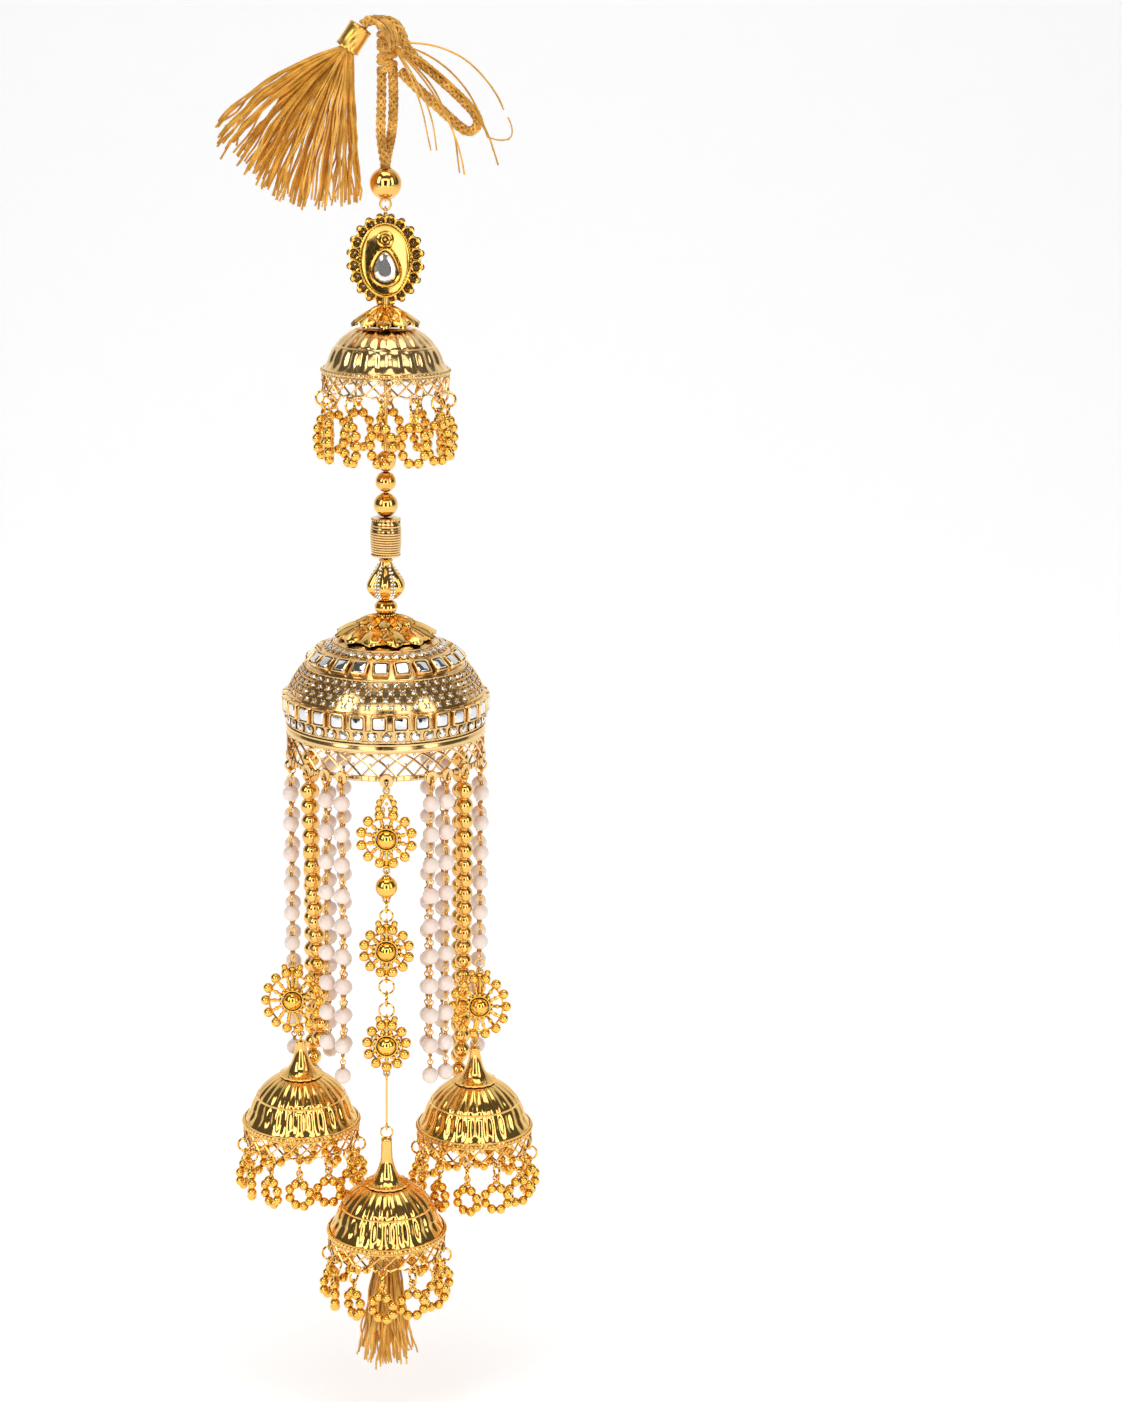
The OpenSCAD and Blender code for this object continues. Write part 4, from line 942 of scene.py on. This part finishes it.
gold_routes = {"left": [(-18, -16.2, -183.3), (-17.8, -12.4, -199), (-17.6, -8.2, -215), (-17.4, -3.2, -231),
                        (-17.2, -0.6, -246), (-17, 1.6, -261)],
               "right": [(20.2, -13.6, -183.3), (20.2, -10, -199), (20, -5.6, -215), (19.8, 0.2, -231),
                         (19.5, 2.6, -247), (19.2, 4.5, -263)]}
for word, points in gold_routes.items():
    make(f"gold_beads_{word}", bead_string(Shape(), points), "drop", [GOLD], [f"gold_strand_{word}"])
both = Shape()
for side in (-1, 1):
    p = around(DOME_R, strand_turn + side * (180 - strand_angles[2]))
    bead_string(both, [p + vec(0, 0, -182.9 - 15 * k) for k in range(6)] + [p + vec(0, 0, -274)])
make("back_gold_beads", both, "drop", [GOLD], ["back_gold_strands"])

OUTER = (("left", strand_turn - 77, -243.3, (2, 0, -8.9)),         # name, angle, its flower's height
         ("right", strand_turn + 77, -245.3, (-1.1, 0, -9.2)))     # and the flower's lower eye
outer_pearl = drilled_ball(PEARL_R, 0.25, 17, 0.5, 0.15, 26)
for word, angle, flower_z, _ in OUTER:
    pearls, wires = Shape(), Shape()
    last = around(DOME_R, angle, -181.9)
    for k in range(6):
        c = around(DOME_R, angle, -188.6 - PEARL_PITCH * k)
        pearls.put(outer_pearl, move(*c), turn("Z", 40 * k))
        link_pair(wires, last, c + vec(0, 0, PEARL_R), mat=0)
        wires.tube([c + vec(0, 0, 2.1), c - vec(0, 0, 2.1)], 0.3, 8)
        last = c - vec(0, 0, PEARL_R)
    link_pair(wires, last, around(DOME_R, angle, flower_z + 9.5), mat=0)
    make(f"outer_pearls_{word}_set", pearls, "drop", [PEARL], [f"outer_pearls_{word}"])
    make(f"outer_links_{word}", wires, "drop", [GOLD], [f"outer_wire_{word}"])


# ---------------------------------------------------------------- flowers
EDGE_ON, FACE_ON = (1, 0, 0), (0, 1, 0)    # the ways that an eye's hole faces
BALL_R, EYE_R = 1.3, 0.75


def eye_offset(rz):
    return rz + BALL_R + EYE_R - 0.35


def flower(rx, rz, n, low_eye, low_hole, top_hole):
    """A round of n balls on spokes about a middle ball, between an eye above and one below."""
    s = Shape()
    s.ball(vec(0, 0, 0), 2.45, 24, 16)
    s.ring(vec(0, 0, 0), rx - 0.9, 0.3, (0, 1, 0), 48, 6, rz=rz - 0.9)
    for side in (-1, 1):
        s.ring(vec(0, 0.5 * side, 0), 2.75, 0.22, (0, 1, 0), 32, 5)
        for k in range(16):
            a = TAU * k / 16
            s.ball(vec(3.15 * math.sin(a), 0.35 * side, 3.15 * math.cos(a)), 0.5, 7, 5)
    for k in range(n):
        a = TAU * (k + 0.5) / n
        p = vec(rx * math.sin(a), 0, rz * math.cos(a))
        s.ball(p, BALL_R, 14, 10)
        q = unit(p)
        s.tube([q * 3.1, p - q * 1.1], 0.42, 7)
        s.ball(0.66 * p, 0.6, 9, 7)
    for side in (-1, 1):
        s.ball(vec(2.0 * side, 0, rz + 1.35), 0.85, 11, 8)
    top = eye_offset(rz)
    low = vec(*low_eye)
    dl = unit(low)
    if top_hole:
        s.ring(vec(0, 0, top), EYE_R, 0.25, top_hole, 24, 7)
        s.tube([(0, 0, rz * 0.5), (0, 0, top - 0.72)], 0.45, 8)
        s.ring(vec(0, 0, rz + 0.95), 0.62, 0.27, (0, 0, 1), 16, 6)
    s.ring(low, EYE_R, 0.25, low_hole, 24, 7)
    s.tube([low * 0.4, low - dl * 0.72], 0.45, 8)
    s.ring(low - dl * 1.1, 0.62, 0.27, dl, 16, 6)
    return s


def upper_flower():
    """The first flower hangs from a curled bail."""
    s = flower(6.35, 6.3, 12, (0, 0, -eye_offset(6.3)), FACE_ON, None)
    s.ring(vec(0, 0, 12.2), EYE_R, 0.25, FACE_ON, 24, 7)
    curl = [(0.3, 11.6), (0.5, 10.6), (1.15, 9.2), (1.55, 8.2), (1.5, 7.3), (0.9, 6.9), (0.55, 7.5), (0.9, 8.1)]
    for side in (-1, 1):
        s.tube(smooth_path([(x * side, 0, z) for x, z in curl], 0.3), 0.33, 7)
        s.ball(vec(1.6 * side, 0, 6.6), 0.4, 9, 6)
        s.ball(vec(1.75 * side, 0, 9.2), 0.85, 11, 8)
        s.ball(vec(1.1 * side, 0, 10.6), 0.6, 9, 7)
    s.ball(vec(0, 0, 10.9), 0.5, 10, 7)
    s.ball(vec(0, 0, 8.9), 0.45, 10, 7)
    return s


def front_bead():
    s = Shape().ball(vec(0, 0, 0), 2.7, 28, 18)
    for side, hole in ((1, EDGE_ON), (-1, FACE_ON)):
        s.ring(vec(0, 0, side * 3.35), EYE_R, 0.25, hole, 24, 7)
        s.ring(vec(0, 0, side * 2.55), 0.95, 0.26, (0, 0, 1), 20, 6)
    return s


def links():
    s = Shape()
    for z, r, hole in ((-211.9, 1.55, EDGE_ON), (-214.35, 1.55, FACE_ON), (-232.75, 1.85, FACE_ON),
                       (-235.8, 1.85, EDGE_ON), (-238.85, 1.85, FACE_ON)):
        s.ring(vec(0, 0, z), r, 0.25, hole, 32, 8)
    return s


for name, shape, z in (
        ("front_flower_upper", upper_flower(), -194.7), ("front_bead", front_bead(), -206.9),
        ("front_flower_middle", flower(5.7, 5.7, 12, (0, 0, -eye_offset(5.7)), EDGE_ON, EDGE_ON), -223.4),
        ("front_links", links(), 0),
        ("front_flower_lower", flower(4.9, 5.6, 11, (0, 0, -eye_offset(5.6)), FACE_ON, EDGE_ON), -248.1)):
    make(f"{name}_set", Shape().put(shape, move(*FRONT, z)), "drop", [DEEP], [name])
for word, angle, z, eye in OUTER:
    side_flower = Shape().put(flower(6.85, 7.6, 14, eye, FACE_ON, FACE_ON), move(*around(DOME_R, angle, z)))
    make(f"side_flower_{word}_set", side_flower, "drop", [DEEP], [f"side_flower_{word}"])


# ---------------------------------------------------------------- floor, backdrop and light
WARM_WHITE = (1, 0.98, 0.95)
FLOOR_Z, BEND_R, BACKDROP_GLOW = -0.348, 1.2, 0.4    # metres


def sheet_object(name, verts, faces, **look):
    """A plain sheet of the studio, in metres, with its own material."""
    n = Nodes(name)
    n.set(**look)
    mesh = bpy.data.meshes.new(name)
    mesh.from_pydata(verts, [], faces)
    mesh.materials.append(n.mat)
    mesh.polygons.foreach_set("use_smooth", [True] * len(mesh.polygons))
    obj = bpy.data.objects.new(name, mesh)
    bpy.context.scene.collection.objects.link(obj)
    return obj


def aim(obj, centre, target, track):
    obj.location = centre
    obj.rotation_euler = (Vector(target) - Vector(centre)).to_track_quat(track, "Y").to_euler()
    obj.visible_camera = False


def card(name, centre, width, height, colour, glow=0.0):
    """A flat studio card that faces the object and shows only in reflections."""
    w, h = width / 2, height / 2
    obj = sheet_object(name, [(-w, -h, 0), (w, -h, 0), (w, h, 0), (-w, h, 0)], [(0, 1, 2, 3)], Base_Color=colour,
                       Roughness=0.7, Emission_Color=WARM_WHITE, Emission_Strength=glow)
    aim(obj, centre, (0, 0, -0.165), "Z")


def light(name, centre, target, width, height, watts):
    data = bpy.data.lights.new(name, "AREA")
    data.shape, data.size, data.size_y, data.energy, data.color = "RECTANGLE", width, height, watts, WARM_WHITE
    obj = bpy.data.objects.new(name, data)
    bpy.context.scene.collection.objects.link(obj)
    aim(obj, centre, target, "-Z")


bend = [(0.3 + BEND_R * sind(a), FLOOR_Z + BEND_R - BEND_R * cosd(a)) for a in range(0, 91, 3)]
rows = [(-1.6, FLOOR_Z), (0.1, FLOOR_Z)] + bend + [(1.5, 2.4)]
sheet_object("backdrop", [(x, y, z) for y, z in rows for x in (-3.2, 3.2)],
             [(2 * i, 2 * i + 1, 2 * i + 3, 2 * i + 2) for i in range(len(rows) - 1)],
             Base_Color=(0.91, 0.92, 0.94), Roughness=0.8, Specular_IOR_Level=0.2, Emission_Color=(1, 1, 1),
             Emission_Strength=BACKDROP_GLOW)
light("key_left", (-0.85, -0.75, 0.45), (0, 0, -0.15), 0.35, 0.9, 3.4)
light("key_right", (0.9, -0.6, 0.25), (0, 0, -0.17), 0.3, 0.9, 2.3)
light("top", (0.05, -0.15, 1.0), (0, 0, -0.15), 0.9, 0.7, 4)
light("backdrop_wash", (0, 0.35, 0.9), (0, 1.2, 0.1), 1.8, 0.5, 2.1)
card("front_softbox", (0.07, -1.05, 0.12), 1.2, 1.1, (0.9, 0.9, 0.9), 1.25)
card("dark_card_front", (0.057, -0.85, 0.02), 0.36, 0.6, (0.01, 0.01, 0.01))
card("dark_card_left", (-0.5, -0.8, -0.1), 0.1, 0.9, (0.012, 0.012, 0.012))
card("dark_card_right", (0.56, -0.75, -0.1), 0.1, 0.9, (0.012, 0.012, 0.012))

world = bpy.data.worlds.new("studio")
bpy.context.scene.world = world
world.use_nodes = True
world.node_tree.nodes["Background"].inputs["Color"].default_value = (*WARM_WHITE, 1)
world.node_tree.nodes["Background"].inputs["Strength"].default_value = 0.1
bpy.context.scene.view_settings.view_transform = "Standard"
bpy.context.scene.view_settings.exposure = 0.0
